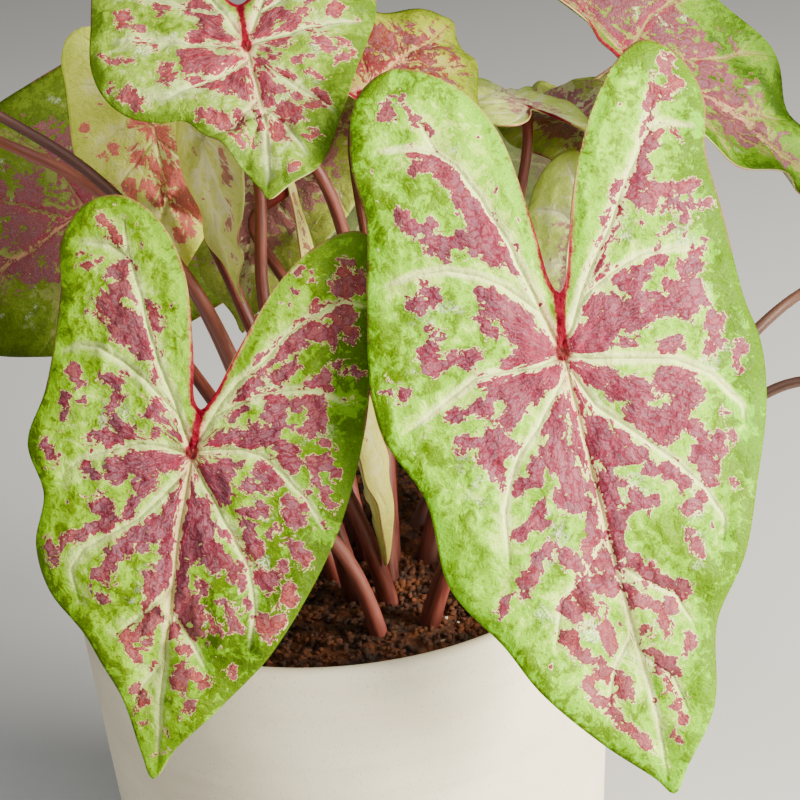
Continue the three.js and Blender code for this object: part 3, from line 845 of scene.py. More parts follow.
def vein_field(leaf, x, y):
    """Offset and distance to the nearest vein, and that vein's half width there."""
    best = np.full(len(x), 1e9)
    offset = np.zeros((len(x), 2))
    width = np.zeros(len(x))
    for half_width, path in veins_of(leaf):
        away, gap, along = nearest_on_path(x, y, path)
        nearer = gap < best
        best[nearer] = gap[nearer]
        offset[nearer] = away[nearer]
        width[nearer] = (half_width * (1 - 0.45 * along - 0.55 * along ** 6))[nearer]
    return offset, best, width


# The flesh swells between the veins, and the veins sink into it.
QUILT_RISE = 1.0
QUILT_WIDTH = 3.5
VEIN_SAG = 0.25
VEIN_SAG_WIDTH = 0.9
ROUGH_RISE = 1.15
ROUGH_SIZE = 9
CALM_MARGIN = 4
CALM_CENTRE = 0.06


def swell_of(x, y, seed, share, margin, best, width, span):
    """How far the skin stands out from the middle of the blade."""
    calm = np.clip(margin / CALM_MARGIN, 0, 1) * np.clip(share / CALM_CENTRE, 0, 1)
    swell = QUILT_RISE * span * (1 - np.exp(-best / QUILT_WIDTH)) * calm
    swell -= VEIN_SAG * span * np.exp(-(best / VEIN_SAG_WIDTH) ** 2) * np.clip(width, 0, 1) * calm
    rough = [noise.fractal(Vector((px / ROUGH_SIZE, py / ROUGH_SIZE, seed)), 0.8, 2.2, 3)
             for px, py in zip(x, y)]
    return swell + ROUGH_RISE * span * np.array(rough) * calm


def skin_points(leaf, x, y, share, swell):
    """Points of the blade's upper skin, once it hangs in its place."""
    nudge = 0.5
    here = bent(leaf, x, y, share)
    normal = np.cross(bent(leaf, x + nudge, y, share) - bent(leaf, x - nudge, y, share),
                      bent(leaf, x, y + nudge, share) - bent(leaf, x, y - nudge, share))
    normal /= np.linalg.norm(normal, axis=1)[:, None]
    lifted = here + normal * (BLADE_THICKNESS / 2 + swell)[:, None]
    return lifted @ blade_turn(leaf).T + np.array(leaf["at"], float)


# The front leaves get a finer mesh, and their veins are drawn closer to it.
FRONT_MESH = (420, 64)
COMMON_MESH = (180, 28)
FRONT_SLACK = 1.1
COMMON_SLACK = 2.2
COMMON_RELIEF = 0.7
GRAIN_STEP = 37.0


def grow_blade(leaf):
    front = "veins" in leaf
    rays, rings = FRONT_MESH if front else COMMON_MESH
    outline = outline_of(leaf)
    edge = smooth_curve(outline, True, rays + 1)
    # The grid's two directions become the way round the margin and the way out to it.
    bm = bmesh.new()
    bmesh.ops.create_grid(bm, x_segments=rays, y_segments=rings, size=0.5)
    cells = np.array([vert.co[:2] for vert in bm.verts]) + 0.5
    ray = np.rint(cells[:, 0] * rays).astype(int) % rays
    share = cells[:, 1]
    x, y = edge[ray, 0] * share, edge[ray, 1] * share
    size = np.abs(outline).max()

    offset, best, width = vein_field(leaf, x, y)
    margin = nearest_on_path(x, y, edge)[1]
    span = 1.0 if front else leaf.get("relief", COMMON_RELIEF)
    width *= 1.0 if front else span / COMMON_RELIEF
    seed = GRAIN_STEP * leaf["number"]
    swell = swell_of(x, y, seed, share, margin, best, width, span)
    for vert, spot in zip(bm.verts, skin_points(leaf, x, y, share, swell)):
        vert.co = Vector(spot) * MM
    fields = {
        "flat": (x, y, np.full(len(x), seed)),
        "vein": (offset[:, 0], offset[:, 1], best),
        "marks": (blotch_field(leaf, x, y, share), margin, width),
        # Its third part is painted shade (above 0) and paler strokes (below 0).
        "tints": (crimson_field(outline, x, y, margin), np.hypot(x, y) / size, shade_and_pale_field(leaf, x, y)),
    }
    layers = {name: bm.verts.layers.float_vector.new(name) for name in fields}
    for name, values in fields.items():
        for vert, value in zip(bm.verts, np.stack(values, 1)):
            vert[layers[name]] = Vector(value)
    bmesh.ops.remove_doubles(bm, verts=bm.verts, dist=4e-6)
    bmesh.ops.recalc_face_normals(bm, faces=bm.faces)
    upward = Vector(blade_turn(leaf)[:, 2])
    if sum((face.normal for face in bm.faces), Vector()).dot(upward) < 0:
        bmesh.ops.reverse_faces(bm, faces=bm.faces)
    slack = FRONT_SLACK if front else COMMON_SLACK
    blade = new_piece(f"blade_{leaf['name']}", bm, finishes_of(leaf["look"], slack))
    wall = blade.modifiers.new("thickness", "SOLIDIFY")
    wall.thickness = BLADE_THICKNESS * MM
    wall.offset = -1.0
    wall.material_offset = 1
    wall.material_offset_rim = 2
    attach(blade, "root")
    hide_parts(f"leaf_{leaf['name']}")


STALK_BASE_RADIUS = 4.1
COMMON_BEND = {"tip_bend": 18, "lobe_bend": 20, "fold": 6, "droop": 22, "wave": 2}
LEAVES = []


def add_leaf(number, name, at, heading, pitch, roll, look, soil, via, **more):
    """Grows one blade at its stalk's joint and keeps its stalk's course for later.

    The heading, pitch and roll turn the blade, soil is where its stalk comes up, via are
    points that the stalk passes, and the number gives the blade its own grain.
    """
    leaf = {"number": number, "name": name, "at": at, "heading": heading, "pitch": pitch,
            "roll": roll, "look": look, "soil": soil, "via": via, "lobes": (1, 1),
            "stem": STALK_BASE_RADIUS, **COMMON_BEND, **more}
    LEAVES.append(leaf)
    grow_blade(leaf)


# ---------------------------------------------------------------- front leaf on the right
# The largest leaf hangs in front on the right, its tip down. Its outline and
# veins are drawn flat, in millimetres from the joint of its stalk.

FRONT_BEND = {"tip_bend": 10, "lobe_bend": 10, "fold": 8, "droop": 18, "wave": 1.5}
FRONT_RIGHT_OUTLINE = [
    (2, -119), (7, -112), (17, -98), (23, -78), (34, -62), (42, -46), (51, -26), (54, -10), (52, 4),
    (52, 26), (52, 44), (56, 58), (52, 71), (43, 76.5), (34, 72), (25, 62), (16.7, 48), (9.6, 30), (4.7, 17),
    (3, 15.5), (1.5, 19), (1, 34), (-2, 62), (-10, 76), (-24, 84), (-35, 79), (-41, 62), (-41, 46),
    (-46, 26), (-51, 2), (-50.5, -11), (-44, -28), (-43, -52), (-33, -70), (-27, -83), (-14, -101),
    (-2, -114),
]
# Each vein: its half width at the root, and its path.
FRONT_RIGHT_VEINS = [
    (0.85, [(0, -2), (0, -23), (0, -50), (1, -76), (2, -98), (1, -115)]),
    (1.2, [(-1, 3), (-4, 18), (-7, 32), (-11, 45), (-15, 54), (-19, 59), (-21, 68)]),
    (0.7, [(-19, 59), (-27, 62), (-34, 63)]),
    (1.0, [(-4, 13), (-11, 21), (-17, 25), (-24, 28), (-32, 29), (-42, 28)]),
    (1.1, [(-1, -1), (-8, -2), (-17, -1), (-24, -1), (-35, -6), (-44, -10)]),
    (0.9, [(-1, -6), (-5, -10), (-11, -17), (-18, -23), (-21, -28), (-25, -36), (-27, -50)]),
    (1.2, [(1, 3), (4, 6), (9, 15), (15, 23), (21, 30), (26, 38), (31, 44), (36, 51), (41, 60)]),
    (0.7, [(34, 49), (39, 53), (44, 53), (51, 50)]),
    (1.0, [(7, 11), (9, 13), (17, 17), (26, 20), (35, 20), (45, 17)]),
    (1.1, [(1, -1), (7, -3), (16, -5), (28, -8), (37, -14), (44, -24), (43, -30)]),
    (0.9, [(1, -5), (5, -15), (14, -25), (22, -34), (28, -43), (31, -51), (29, -57)]),
    (0.5, [(0, -48), (-8, -56), (-16, -62), (-20, -72)]),
    (0.5, [(0, -56), (7, -62), (14, -68), (17, -78)]),
    (0.4, [(1, -74), (-6, -82), (-10, -92)]),
    (0.4, [(1, -80), (8, -88), (10, -98)]),
]
# Blotches lie between the veins: the half width of each, and the path it runs along.
FRONT_RIGHT_BLOTCHES = [
    (1.6, (-28, 75), (-27, 72), (-30, 72)), (1.4, (-24, 74), (-22, 71), (-22, 68), (-19, 64)),
    (1, (-15, 63)), (2.2, (-24, 60), (-20, 58)), (1.8, (-26, 56), (-20, 56)),
    (2.6, (-20, 56), (-16, 50), (-15, 46)), (3.4, (-14, 42), (-12, 38), (-12, 32)),
    (2.2, (-24, 36), (-18, 34), (-12, 30)), (1.5, (-24, 34), (-24, 32)), (2.4, (-12, 28), (-8, 29)),
    (0.9, (-10, 30), (-7, 24), (-4, 19)), (1.7, (-32, 44), (-30, 40), (-26, 40), (-25, 41)),
    (1.5, (-26, 37), (-27, 34)), (2.6, (-30, 26), (-30, 22), (-34, 22)), (1.3, (-36, 24), (-33, 22)),
    (3.2, (-16, 19), (-12, 15), (-10, 10)), (4.4, (-10, 8), (-8, 4), (-4, 2)), (2, (-14, 1), (-8, 1)),
    (1.3, (-20, 14), (-18, 11), (-16, 9)), (1.7, (-32, 14), (-30, 12)),
    (2.4, (-34, 10), (-34, 6), (-32, 5)), (1.8, (-28, 6), (-25, 4), (-23, 5)), (1.5, (-46, 2)),
    (1.8, (-43, 0), (-44, -2)), (2.4, (-22, -2), (-20, -4), (-20, -6)),
    (4, (-16, -6), (-10, -5), (-4, -4)), (3, (-14, -10), (-10, -8)), (3.2, (-19, -13), (-16, -11)),
    (1.9, (-32, -9), (-27, -8), (-22, -10)), (3, (-23, -16), (-20, -20)), (1.8, (-32, -16), (-26, -16)),
    (2.8, (-26, -20), (-24, -26)), (1.5, (-24, -30)), (1.2, (-27, -7), (-24, -6)),
    (3, (-4, -12), (-8, -21)), (4, (-9, -24), (-6, -30), (-6, -34)),
    (2, (-13, -26), (-16, -30), (-20, -31)), (3.4, (-10, -36), (-5, -38)),
    (1.9, (-14, -37), (-18, -40), (-23, -42)), (1.7, (-3, -41), (-3, -46)), (2.3, (-6, -50), (-4, -54)),
    (1.8, (-13, -50), (-10, -54)), (2.2, (-16, -48), (-20, -50), (-23, -54), (-25, -58)),
    (1.5, (-29, -56), (-32, -60)), (3, (-10, -60), (-5, -60), (-2, -62)), (2.8, (-14, -64), (-12, -67)),
    (1.9, (-10, -66), (-6, -66)), (2.4, (-17, -71), (-15, -75)), (1.5, (-14, -77), (-10, -80)),
    (2.2, (-6, -72), (-6, -76)), (1.5, (-14, -82), (-14, -86)), (2, (-11, -83), (-6, -86), (-4, -90)),
    (1.8, (-12, -90), (-9, -92), (-8, -96)), (1.5, (-7, -98), (-4, -102), (-3, -104)), (0.9, (-1, -106)),
    (0.9, (-15, -88)), (3.4, (0, -12), (0, -20), (0, -30)), (4.2, (3, -20), (4, -26), (8, -28)),
    (2.6, (9, -25), (13, -30)), (3.6, (2, -34), (2, -39)), (3.6, (2, -44), (1, -52)),
    (2.4, (-2, -58), (6, -57)), (2.3, (8, -37), (10, -42), (13, -42)), (1.8, (7, -42), (4, -45)),
    (2, (2, -62), (2, -66)), (2.2, (8, -60), (12, -63), (15, -66)), (2.4, (12, -70), (16, -66)),
    (1.7, (4, -66), (8, -70)), (1.4, (10, -71), (8, -78)), (1.5, (4, -74)), (1.8, (4, -80)),
    (2.2, (5, -84), (8, -85), (8, -90)), (1.4, (8, -95), (8, -100)), (1.2, (6, -104)),
    (1.8, (14, -80), (12, -82)), (3, (2, -4), (6, -7), (10, -9)), (3.8, (12, -12), (17, -14)),
    (3, (14, -19), (18, -22)), (4.4, (24, -14), (28, -15), (30, -17)),
    (3.8, (20, -25), (24, -24), (26, -20)), (2.6, (28, -26), (30, -29)), (3, (29, -33), (34, -32)),
    (1.4, (38, -31)), (2.2, (30, -37), (30, -40)), (2.6, (15, -34), (20, -37), (22, -40)),
    (2.3, (26, -45), (23, -46)), (1.2, (36, -44)), (1.4, (22, -56), (22, -58)), (0.9, (22, -53)),
    (1.1, (39, -25)), (1.5, (16, -1), (18, -2)), (2.4, (26, -4), (30, -4)), (2.2, (37, -8), (40, -6)),
    (1.9, (47, -8), (46, -11), (44, -14)), (4.2, (3, 2), (8, 2), (11, 4)), (2.6, (10, 0), (14, 4)),
    (3.2, (10, 10), (16, 10)), (3.6, (14, 6), (20, 8)), (3.2, (20, 14), (24, 15)),
    (2.4, (28, 18), (30, 18)), (3.6, (22, 6), (29, 6), (36, 4)), (2.2, (31, 11), (32, 8)),
    (2.2, (36, 13), (40, 15), (42, 17)), (2.4, (37, 8), (40, 4)), (2, (40, 1), (42, -2)),
    (1.5, (18, 3), (22, 3)), (1.2, (10, 14), (14, 17)), (2, (14, 20), (17, 24)), (2, (18, 26), (20, 28)),
    (2.4, (20, 30), (23, 33)), (3, (26, 38), (30, 40), (33, 42)), (2.5, (30, 34), (32, 32)),
    (2, (34, 36), (38, 36)), (1.4, (40, 34), (45, 35)), (2.3, (36, 32), (40, 30)),
    (1.7, (44, 30), (48, 30)), (1.4, (40, 28)), (1.9, (36, 47), (38, 50), (40, 52)), (1.4, (34, 46)),
    (1.5, (36, 52), (39, 54)), (2.1, (40, 58), (42, 62)), (1.3, (42, 65)),
    (1.8, (44, 60), (48, 62), (48, 64)), (1, (46, 69)), (1.2, (48, 70), (47, 66)), (1.3, (44, 49)),
    (1.3, (28, 28)), (1.2, (33, 24), (36, 25)), (1, (44, 20)),
]
# Painted shade as a deeper green (above 0), and paler parts (below 0): strength, reach and path.
FRONT_RIGHT_SHADE_AND_PALE = [
    (-1, 11, (1, 18), (-2, 42), (-9, 66)), (-0.8, 10, (5, 18), (14, 40), (25, 60)),
    (1, 22, (54, 42), (55, 6), (47, -36)), (0.6, 18, (32, -58), (18, -92)),
    (0.6, 16, (30, 74), (44, 74), (54, 60)), (-0.6, 20, (-42, -34), (-34, -66)),
    (0.4, 14, (-40, 78), (-26, 80)),
]

add_look("front", reach=0.6, amount=0.0, unrest=0.6,
         rim="#8ac804", patch="#5c7e00", pale="#c2e85a", vein="#ecf6a0", edge="#f4eca6",
         pink="#8c4856", net="#72142e", warm="#9c4c4a", hair="#84964e")
add_leaf(1, "front_right", (64.7, -82, 238.6), 20.7, 62.2, 13, "front", (25, -48), [(46, -50, 190)],
         outline=FRONT_RIGHT_OUTLINE, veins=FRONT_RIGHT_VEINS, blotches=FRONT_RIGHT_BLOTCHES,
         depths=FRONT_RIGHT_SHADE_AND_PALE, **FRONT_BEND)


# ---------------------------------------------------------------- front leaf on the left
# A somewhat smaller leaf hangs in front on the left, with painted shade in a
# deeper green on its right side, and pale between the lobes.

FRONT_LEFT_OUTLINE = [
    (-1, -89), (5, -79), (15, -67), (27, -51), (36, -32), (42, -12), (45, 12), (45, 30), (47, 48),
    (44, 60), (36, 64.5), (27, 60), (18, 49), (10, 31), (3.5, 15), (1, 12), (-1, 14), (-3.5, 28),
    (-9, 48), (-18, 61), (-30, 67), (-40, 64), (-45.5, 53), (-43, 38), (-43, 12), (-46, -3),
    (-39, -16), (-40, -30), (-35, -42), (-21, -54), (-12, -67), (-5, -82),
]
FRONT_LEFT_VEINS = [
    (1.4, [(0, -2), (-1, -23), (-1, -37), (-1, -50), (-1, -66), (0, -84)]),
    (1.2, [(-1, 2), (-3, 6), (-7, 14), (-11, 21), (-16, 31), (-20, 41), (-25, 51), (-28, 60)]),
    (0.7, [(-25, 50), (-31, 53), (-40, 53)]),
    (1.0, [(-5, 10), (-9, 13), (-15, 18), (-22, 22), (-29, 25), (-35, 25), (-41, 22)]),
    (1.0, [(-2, 0), (-8, 1), (-14, 1), (-22, -2), (-29, -5), (-34, -9)]),
    (0.9, [(-1, -5), (-7, -13), (-12, -19), (-19, -24), (-26, -29), (-29, -35), (-26, -43)]),
    (1.2, [(1, 3), (3, 7), (6, 14), (10, 20), (16, 26), (21, 34), (27, 40), (34, 45), (43, 45)]),
    (1.0, [(4, 10), (10, 14), (17, 18), (24, 20), (32, 21), (40, 18)]),
    (1.0, [(1, 1), (6, 2), (13, 3), (19, 2), (25, -2), (32, -8), (38, -16)]),
    (0.9, [(1, -3), (7, -11), (13, -19), (19, -28), (22, -39), (22, -50)]),
    (0.5, [(-1, -36), (-8, -44), (-14, -50)]),
    (0.5, [(-1, -42), (6, -50), (11, -57)]),
    (0.4, [(-1, -56), (-6, -63), (-8, -68)]),
]
FRONT_LEFT_BLOTCHES = [
    (1.6, (-34, 60), (-32, 58), (-28, 54)), (1, (-21, 54)), (1, (-38, 50)), (1.6, (-37, 46), (-32, 48)),
    (2.8, (-28, 46), (-24, 46)), (2.6, (-24, 42), (-26, 40)), (3, (-28, 37), (-23, 33), (-18, 32)),
    (3.8, (-23, 31), (-19, 28), (-16, 26)), (2.2, (-12, 21), (-10, 18)), (1.2, (-34, 38), (-30, 36)),
    (1.1, (-33, 34), (-30, 32)), (1.5, (-20, 38), (-16, 36), (-14, 32)), (1.5, (-35, 18), (-33, 15)),
    (2, (-25, 17), (-22, 16), (-21, 18)), (2.1, (-22, 13), (-23, 10)), (1.5, (-20, 13)),
    (2, (-36, 10), (-36, 6)), (1.4, (-32, 10), (-31, 11)), (1, (-30, 4)),
    (1.9, (-28, 0), (-24, 2), (-21, 0)), (1.7, (-20, 5), (-17, 4)), (1.6, (-40, -3), (-38, -6)),
    (1.9, (-12, 10), (-11, 12), (-8, 12)), (1.6, (-10, 9), (-7, 7), (-4, 4)), (1.2, (-10, 4)),
    (1, (-14, 4)), (1, (-15, 8)), (3.2, (-4, -2), (-8, -3), (-12, -4)),
    (3.2, (-14, -4), (-18, -6), (-20, -8)), (1.5, (-28, -7), (-24, -10)), (2.6, (-10, -7), (-12, -10)),
    (1.6, (-14, -14), (-15, -18)), (2.8, (-22, -16), (-20, -20)),
    (1.4, (-24, -22), (-28, -26), (-32, -28)), (1.2, (-36, -27), (-34, -33)), (2.4, (-2, -12), (-4, -16)),
    (3.4, (-6, -19), (-8, -22), (-11, -24)), (2.6, (-4, -21), (-3, -26)), (2.6, (-14, -26), (-18, -30)),
    (2.3, (-18, -32), (-20, -35)), (2.6, (-4, -31), (-4, -34)), (2.2, (-7, -34), (-5, -38), (-5, -44)),
    (1.8, (-6, -48), (-8, -49), (-12, -50)), (1.3, (-6, -52)), (1, (-10, -54), (-8, -57)),
    (1.2, (-4, -58), (-4, -60)), (1.3, (-8, -64), (-6, -65)), (1.2, (-4, -67), (-6, -69)),
    (1, (-6, -74), (-4, -73)), (1.1, (-22, -39), (-18, -41)), (2.6, (0, -8), (1, -15)),
    (4, (1, -20), (4, -25)), (3.2, (4, -14), (6, -20)), (3, (8, -23), (10, -27)), (3, (0, -28), (2, -34)),
    (2.2, (6, -34), (7, -35)), (3.6, (2, -40), (5, -42)), (2.8, (2, -46), (6, -48)), (2.4, (5, -52)),
    (1.8, (4, -57), (4, -62)), (1.8, (8, -58), (10, -60)), (1.1, (8, -66), (6, -70)), (1, (2, -75)),
    (1.1, (2, -80), (-1, -82)), (1.3, (13, -27), (16, -30), (18, -32)),
    (1.5, (13, -38), (16, -40), (18, -43)), (1.3, (10, -42), (13, -45)), (0.9, (10, -50)),
    (0.9, (14, -50)), (1, (18, -56)), (3.6, (4, -4), (8, -6), (10, -2)), (3, (8, -8), (10, -9)),
    (1.6, (14, 0)), (3.2, (20, -2), (22, -4)), (2, (17, -6), (20, -7)), (2, (16, -13), (21, -12)),
    (2.6, (18, -18), (20, -22)), (2, (16, -16)), (1.6, (11, -19), (14, -20)), (1.1, (20, -10)),
    (2.7, (28, -10), (30, -13)), (1.7, (31, -10)), (1.4, (25, -16), (23, -18)), (1.5, (36, -6), (38, -8)),
    (1.3, (34, -2), (32, -6)), (0.9, (38, -14)), (1.6, (29, -20), (32, -22), (34, -25)), (1.4, (28, -26)),
    (1.9, (26, -30), (24, -32), (22, -30)), (1.6, (30, -32), (31, -36)), (1.1, (28, -37)),
    (1.6, (24, -41), (26, -44), (30, -40)), (0.9, (18, -34)), (0.9, (20, -38)), (2.4, (6, 2), (8, 6)),
    (3.6, (10, 5), (15, 6), (20, 8)), (3.4, (21, 12), (21, 16)), (3.2, (24, 4), (26, 1)),
    (1.9, (26, 16), (28, 18)), (3, (30, 18), (32, 16), (31, 12)), (1.6, (27, 10), (30, 11)),
    (1.5, (10, 10)), (1.4, (36, 7), (34, 8)), (2, (33, 2), (36, 2), (38, 0)),
    (2, (10, 12), (12, 17), (14, 20)), (1.2, (8, 11)), (1.8, (16, 26), (18, 28)), (3, (21, 30), (24, 34)),
    (3.4, (26, 37), (28, 36), (32, 36)), (2.3, (28, 42), (32, 42)), (2, (36, 44), (37, 42)),
    (2.2, (34, 39), (38, 37)), (1.4, (34, 32)), (2, (24, 26), (21, 23)), (2.4, (30, 22), (33, 24)),
    (1.8, (35, 28), (39, 27), (41, 27)), (1.1, (39, 20), (42, 20)), (2.3, (34, 53), (35, 48)),
    (1.6, (33, 50)), (1.4, (38, 54), (39, 48)), (1.2, (22, 46)), (0.9, (21, 42)), (0.9, (22, 52)),
    (0.9, (18, 32)), (0.9, (26, 50)),
]
# Painted shade down the right side, and paler strips by the notch and on the left.
FRONT_LEFT_SHADE_AND_PALE = [
    (1, 32, (42, 48), (44, 10), (36, -26), (20, -52)), (-0.8, 8, (-1, 16), (-5, 40), (-14, 56)),
    (-0.9, 9, (4, 16), (12, 34), (22, 50)), (-0.3, 14, (-36, 30), (-34, -8)),
]

add_look("second", reach=0.6, amount=0.0, unrest=0.6,
         rim="#84b408", patch="#547000", pale="#acce54", vein="#c8da80", edge="#e0cc8c",
         pink="#84444f", net="#641428", warm="#9a4a40", hair="#7c8c46")
add_leaf(2, "front_left", (-34.3, -78, 216.6), -27.5, 63.5, -18.5, "second", (10.5, -50.5),
         [(-2, -53, 176)], outline=FRONT_LEFT_OUTLINE, veins=FRONT_LEFT_VEINS,
         blotches=FRONT_LEFT_BLOTCHES, depths=FRONT_LEFT_SHADE_AND_PALE, **FRONT_BEND)


# ---------------------------------------------------------------- top leaf
# The highest leaf lies flatter than the others, broad and pale, with its tip
# towards the front.

TOP_FRONT_OUTLINE = [
    (0, -49), (6, -46.5), (13, -42), (20, -31), (25, -20), (29, -9), (33, 0), (37, 10), (39, 24),
    (38, 38), (33, 48), (25, 52), (17, 45), (10, 32), (4, 19), (0, 16.4), (-3, 19), (-8, 32),
    (-15, 46), (-25, 52), (-35, 47), (-40, 36), (-42, 16), (-43, 0), (-40, -10), (-34, -17),
    (-26, -20.5), (-19, -21.5), (-15, -26), (-8, -35), (-2, -45),
]
TOP_FRONT_VEINS = [
    (1.2, [(0, -1), (1, -12), (2, -26), (1, -40), (0, -46)]),
    (1.0, [(-2, 6), (-8, 20), (-16, 34), (-24, 44)]),
    (1.0, [(2, 6), (8, 20), (16, 34), (24, 44)]),
    (0.9, [(-2, 1), (-12, 2), (-24, 6), (-38, 8)]),
    (0.9, [(2, 1), (12, 3), (24, 6), (34, 8)]),
    (0.8, [(0, -4), (-10, -10), (-22, -14), (-32, -12)]),
    (0.8, [(0, -6), (9, -12), (17, -20), (21, -27)]),
    (0.7, [(-5, 12), (-16, 18), (-30, 26), (-38, 28)]),
    (0.7, [(5, 12), (16, 18), (28, 26), (36, 28)]),
    (0.6, [(1, -18), (-6, -25), (-12, -28)]),
    (0.6, [(1, -20), (8, -28), (12, -38)]),
]
TOP_FRONT_BLOTCHES = [
    (2.4, (-32, 18), (-32, 14)), (1.1, (-30, 12), (-28, 10)), (1.1, (-30, 7), (-24, 4)),
    (0.8, (-40, 3), (-35, 0), (-31, -1)), (1.8, (-22, -8), (-22, -5)), (0.9, (-24, -9)),
    (1.4, (-38, -8), (-34, -10), (-30, -14), (-28, -15)), (1.6, (-22, 20), (-20, 18)), (1.5, (-22, 16)),
    (1.3, (-16, 18), (-14, 15)), (3, (-12, 18), (-10, 12), (-8, 10)), (2.6, (-10, 6), (-13, 5)),
    (1.4, (-7, 9)), (2.2, (-6, 4), (-4, 0)), (2.6, (-16, 0), (-14, -2), (-10, -3)),
    (2.3, (-8, -4), (-4, -4)), (3, (-14, -6), (-10, -6)), (1.8, (-16, -4)), (2, (-15, -9), (-14, -11)),
    (3.4, (-9, -12), (-5, -8), (-2, -7)), (2.8, (-8, -14), (-4, -14), (-3, -15)),
    (3.2, (1, -6), (2, -11), (2, -14)), (1.6, (4, -6), (7, -5)), (1.8, (5, -10)),
    (1.4, (8, -10), (10, -12)), (1.8, (5, -16), (8, -15)), (1.5, (1, -18), (4, -19)),
    (1.2, (0, -22), (1, -25)), (2.8, (8, -22), (10, -24)), (1.8, (12, -18)), (1.4, (16, -18), (18, -20)),
    (1.8, (15, -22), (18, -23)), (1.7, (2, -26), (6, -28)), (1.5, (5, -30), (7, -32)),
    (1, (16, -11), (18, -12)), (0.9, (13, -31), (15, -31)), (1.1, (8, -40)),
    (1.6, (-14, -20), (-10, -22)), (1.7, (-9, -24), (-7, -26)), (0.9, (-8, -29), (-6, -31)),
    (0.9, (-2, -30), (-2, -32)), (0.9, (-5, -23), (-4, -25)), (3, (6, 9), (8, 14)), (2.6, (4, 4), (5, 6)),
    (2.2, (9, 12), (10, 10)), (2.5, (8, 0), (10, 2)), (1.8, (11, 3), (14, 7)),
    (1.5, (16, 10), (18, 12), (20, 14)), (1.8, (26, 12), (24, 10)), (1.8, (18, 4), (20, 5)),
    (2.5, (20, 0), (22, -2)), (1.8, (26, -1)), (1.5, (24, -6), (28, -4)), (0.9, (31, 7)),
    (1.4, (4, 0), (6, -2)), (1, (12, -7), (16, -6)),
]
# Painted shade down the right side and along the lower left margin, and a paler part on the left.
TOP_FRONT_SHADE_AND_PALE = [
    (0.8, 14, (38, 20), (30, -8), (16, -36)), (-0.5, 18, (-30, -4), (-14, -16)),
    (0.5, 6, (-43, 0), (-34, -17), (-19, -21)),
]

add_look("top", reach=0.66, amount=0.1, unrest=0.6,
         rim="#80a228", patch="#5a7a10", pale="#a8be66", vein="#c6d68a", edge="#dcd48e",
         pink="#92444a", net="#70182a", warm="#9c463c", hair="#909a56")
add_leaf(3, "top_front", (-12.1, -20, 309.5), 6, 36, 0, "top", (14, -22), [(9.5, -13, 251), (2, -12, 274)],
         outline=TOP_FRONT_OUTLINE, veins=TOP_FRONT_VEINS, blotches=TOP_FRONT_BLOTCHES,
         depths=TOP_FRONT_SHADE_AND_PALE, tip_bend=6, droop=16)


# ---------------------------------------------------------------- leaves behind on the left
# A yellow-green leaf hangs behind the top one beside a small folded one, a
# dark leaf fills the far left, and a pale one, lifted towards white as painted light, stands in the middle.

LEFT_HANGING_BLOTCHES = [
    (2.6, (-4, 2), (1, -2), (4, -8)), (3.2, (0, -12), (4, -16)), (3, (8, -12), (7, -20)),
    (3, (3, -22), (7, -28)), (2, (-4, -17), (-2, -22)), (1.6, (-7, -6), (-6, -10)), (2, (2, -33), (5, -32)),
    (1, (-13, -5)), (0.9, (-17, -7)), (1, (-21, 2)), (1, (-16, -16)), (1.2, (-10, -16), (-10, -20)),
    (1.4, (-6, -26), (-5, -29)), (1.2, (12, 4)), (1.4, (16, -6)),
]
LEFT_FOLDED_BLOTCHES = [
    (1.4, (13, 0), (14, -8)), (1, (1, -16)), (1.3, (12, -16), (11, -23)), (0.8, (-7, -5)), (1.2, (8, -34)),
]

# Painted light: the hanging and folded looks are lifted close to white, standing for light that these leaves
# in the crown's shade do not get.
add_look("hanging", reach=0.7, amount=0.3, thin=0.12, unrest=0.6, flush=0.0,
         rim="#e6ec6c", patch="#d4de54", pale="#f4f09c", vein="#f2ec98", edge="#f0d894",
         pink="#f88478", net="#e0705e", warm="#f88c72", hair="#e4dc84")
add_look("folded", reach=0.4, amount=0.0, thin=0.55, unrest=0.6, flush=0.0,
         rim="#f2f4a8", patch="#e0e890", pale="#fffce0", vein="#fffce2", edge="#fff4d8",
         pink="#e8b0a6", net="#dc9a92", warm="#e8b4a4", hair="#dcdca8")
add_look("dusky", reach=0.55, amount=-0.2,
         rim="#62781a", patch="#4e6212", pale="#828a46", vein="#84744c", edge="#80684a",
         pink="#844a50", net="#7e444c", warm="#8a4e4c", hair="#7c684a")
# Painted light: this pale mauve look is lifted towards white too, for the shaded leaves in the middle and at
# the back right.
add_look("faded_and_lit", reach=0.62, amount=0.2, thin=0.15,
         rim="#b8c45a", patch="#98aa48", pale="#e2dea6", vein="#e2d8a6", edge="#e4cca4",
         pink="#c88888", net="#b87880", warm="#cc9080", hair="#c8c08c")
add_leaf(4, "left_hanging", (-44, 15, 280), 10, 70, 17, "hanging", (1, -9), [(-24, 8, 225)],
         length=46, breadth=54, lobes=(1, 0.3), wave=2.5, blotches=LEFT_HANGING_BLOTCHES, relief=0.2)
add_leaf(5, "left_folded", (-27, -13, 283), -74, 88, -12, "folded", (4, -31), [(-15, -17, 232)],
         length=52, breadth=44, lobes=(0.45, 0.45), lobe_bend=30, fold=4, droop=10, wave=1,
         blotches=LEFT_FOLDED_BLOTCHES)
add_leaf(6, "far_left", (-76, 72, 237), -68, 23, -52, "dusky", (-10, 2), [(-50, 56, 190)],
         length=76, breadth=102, wave=2.5, relief=0.4)
add_leaf(7, "mid_back", (-15, 46, 254), -25, 52, 0, "faded_and_lit", (5, 2), [(-2, 36, 200)],
         length=52, breadth=68)


# ---------------------------------------------------------------- young leaves
# The two youngest blades are still rolled up, pale yellow and without lobes.

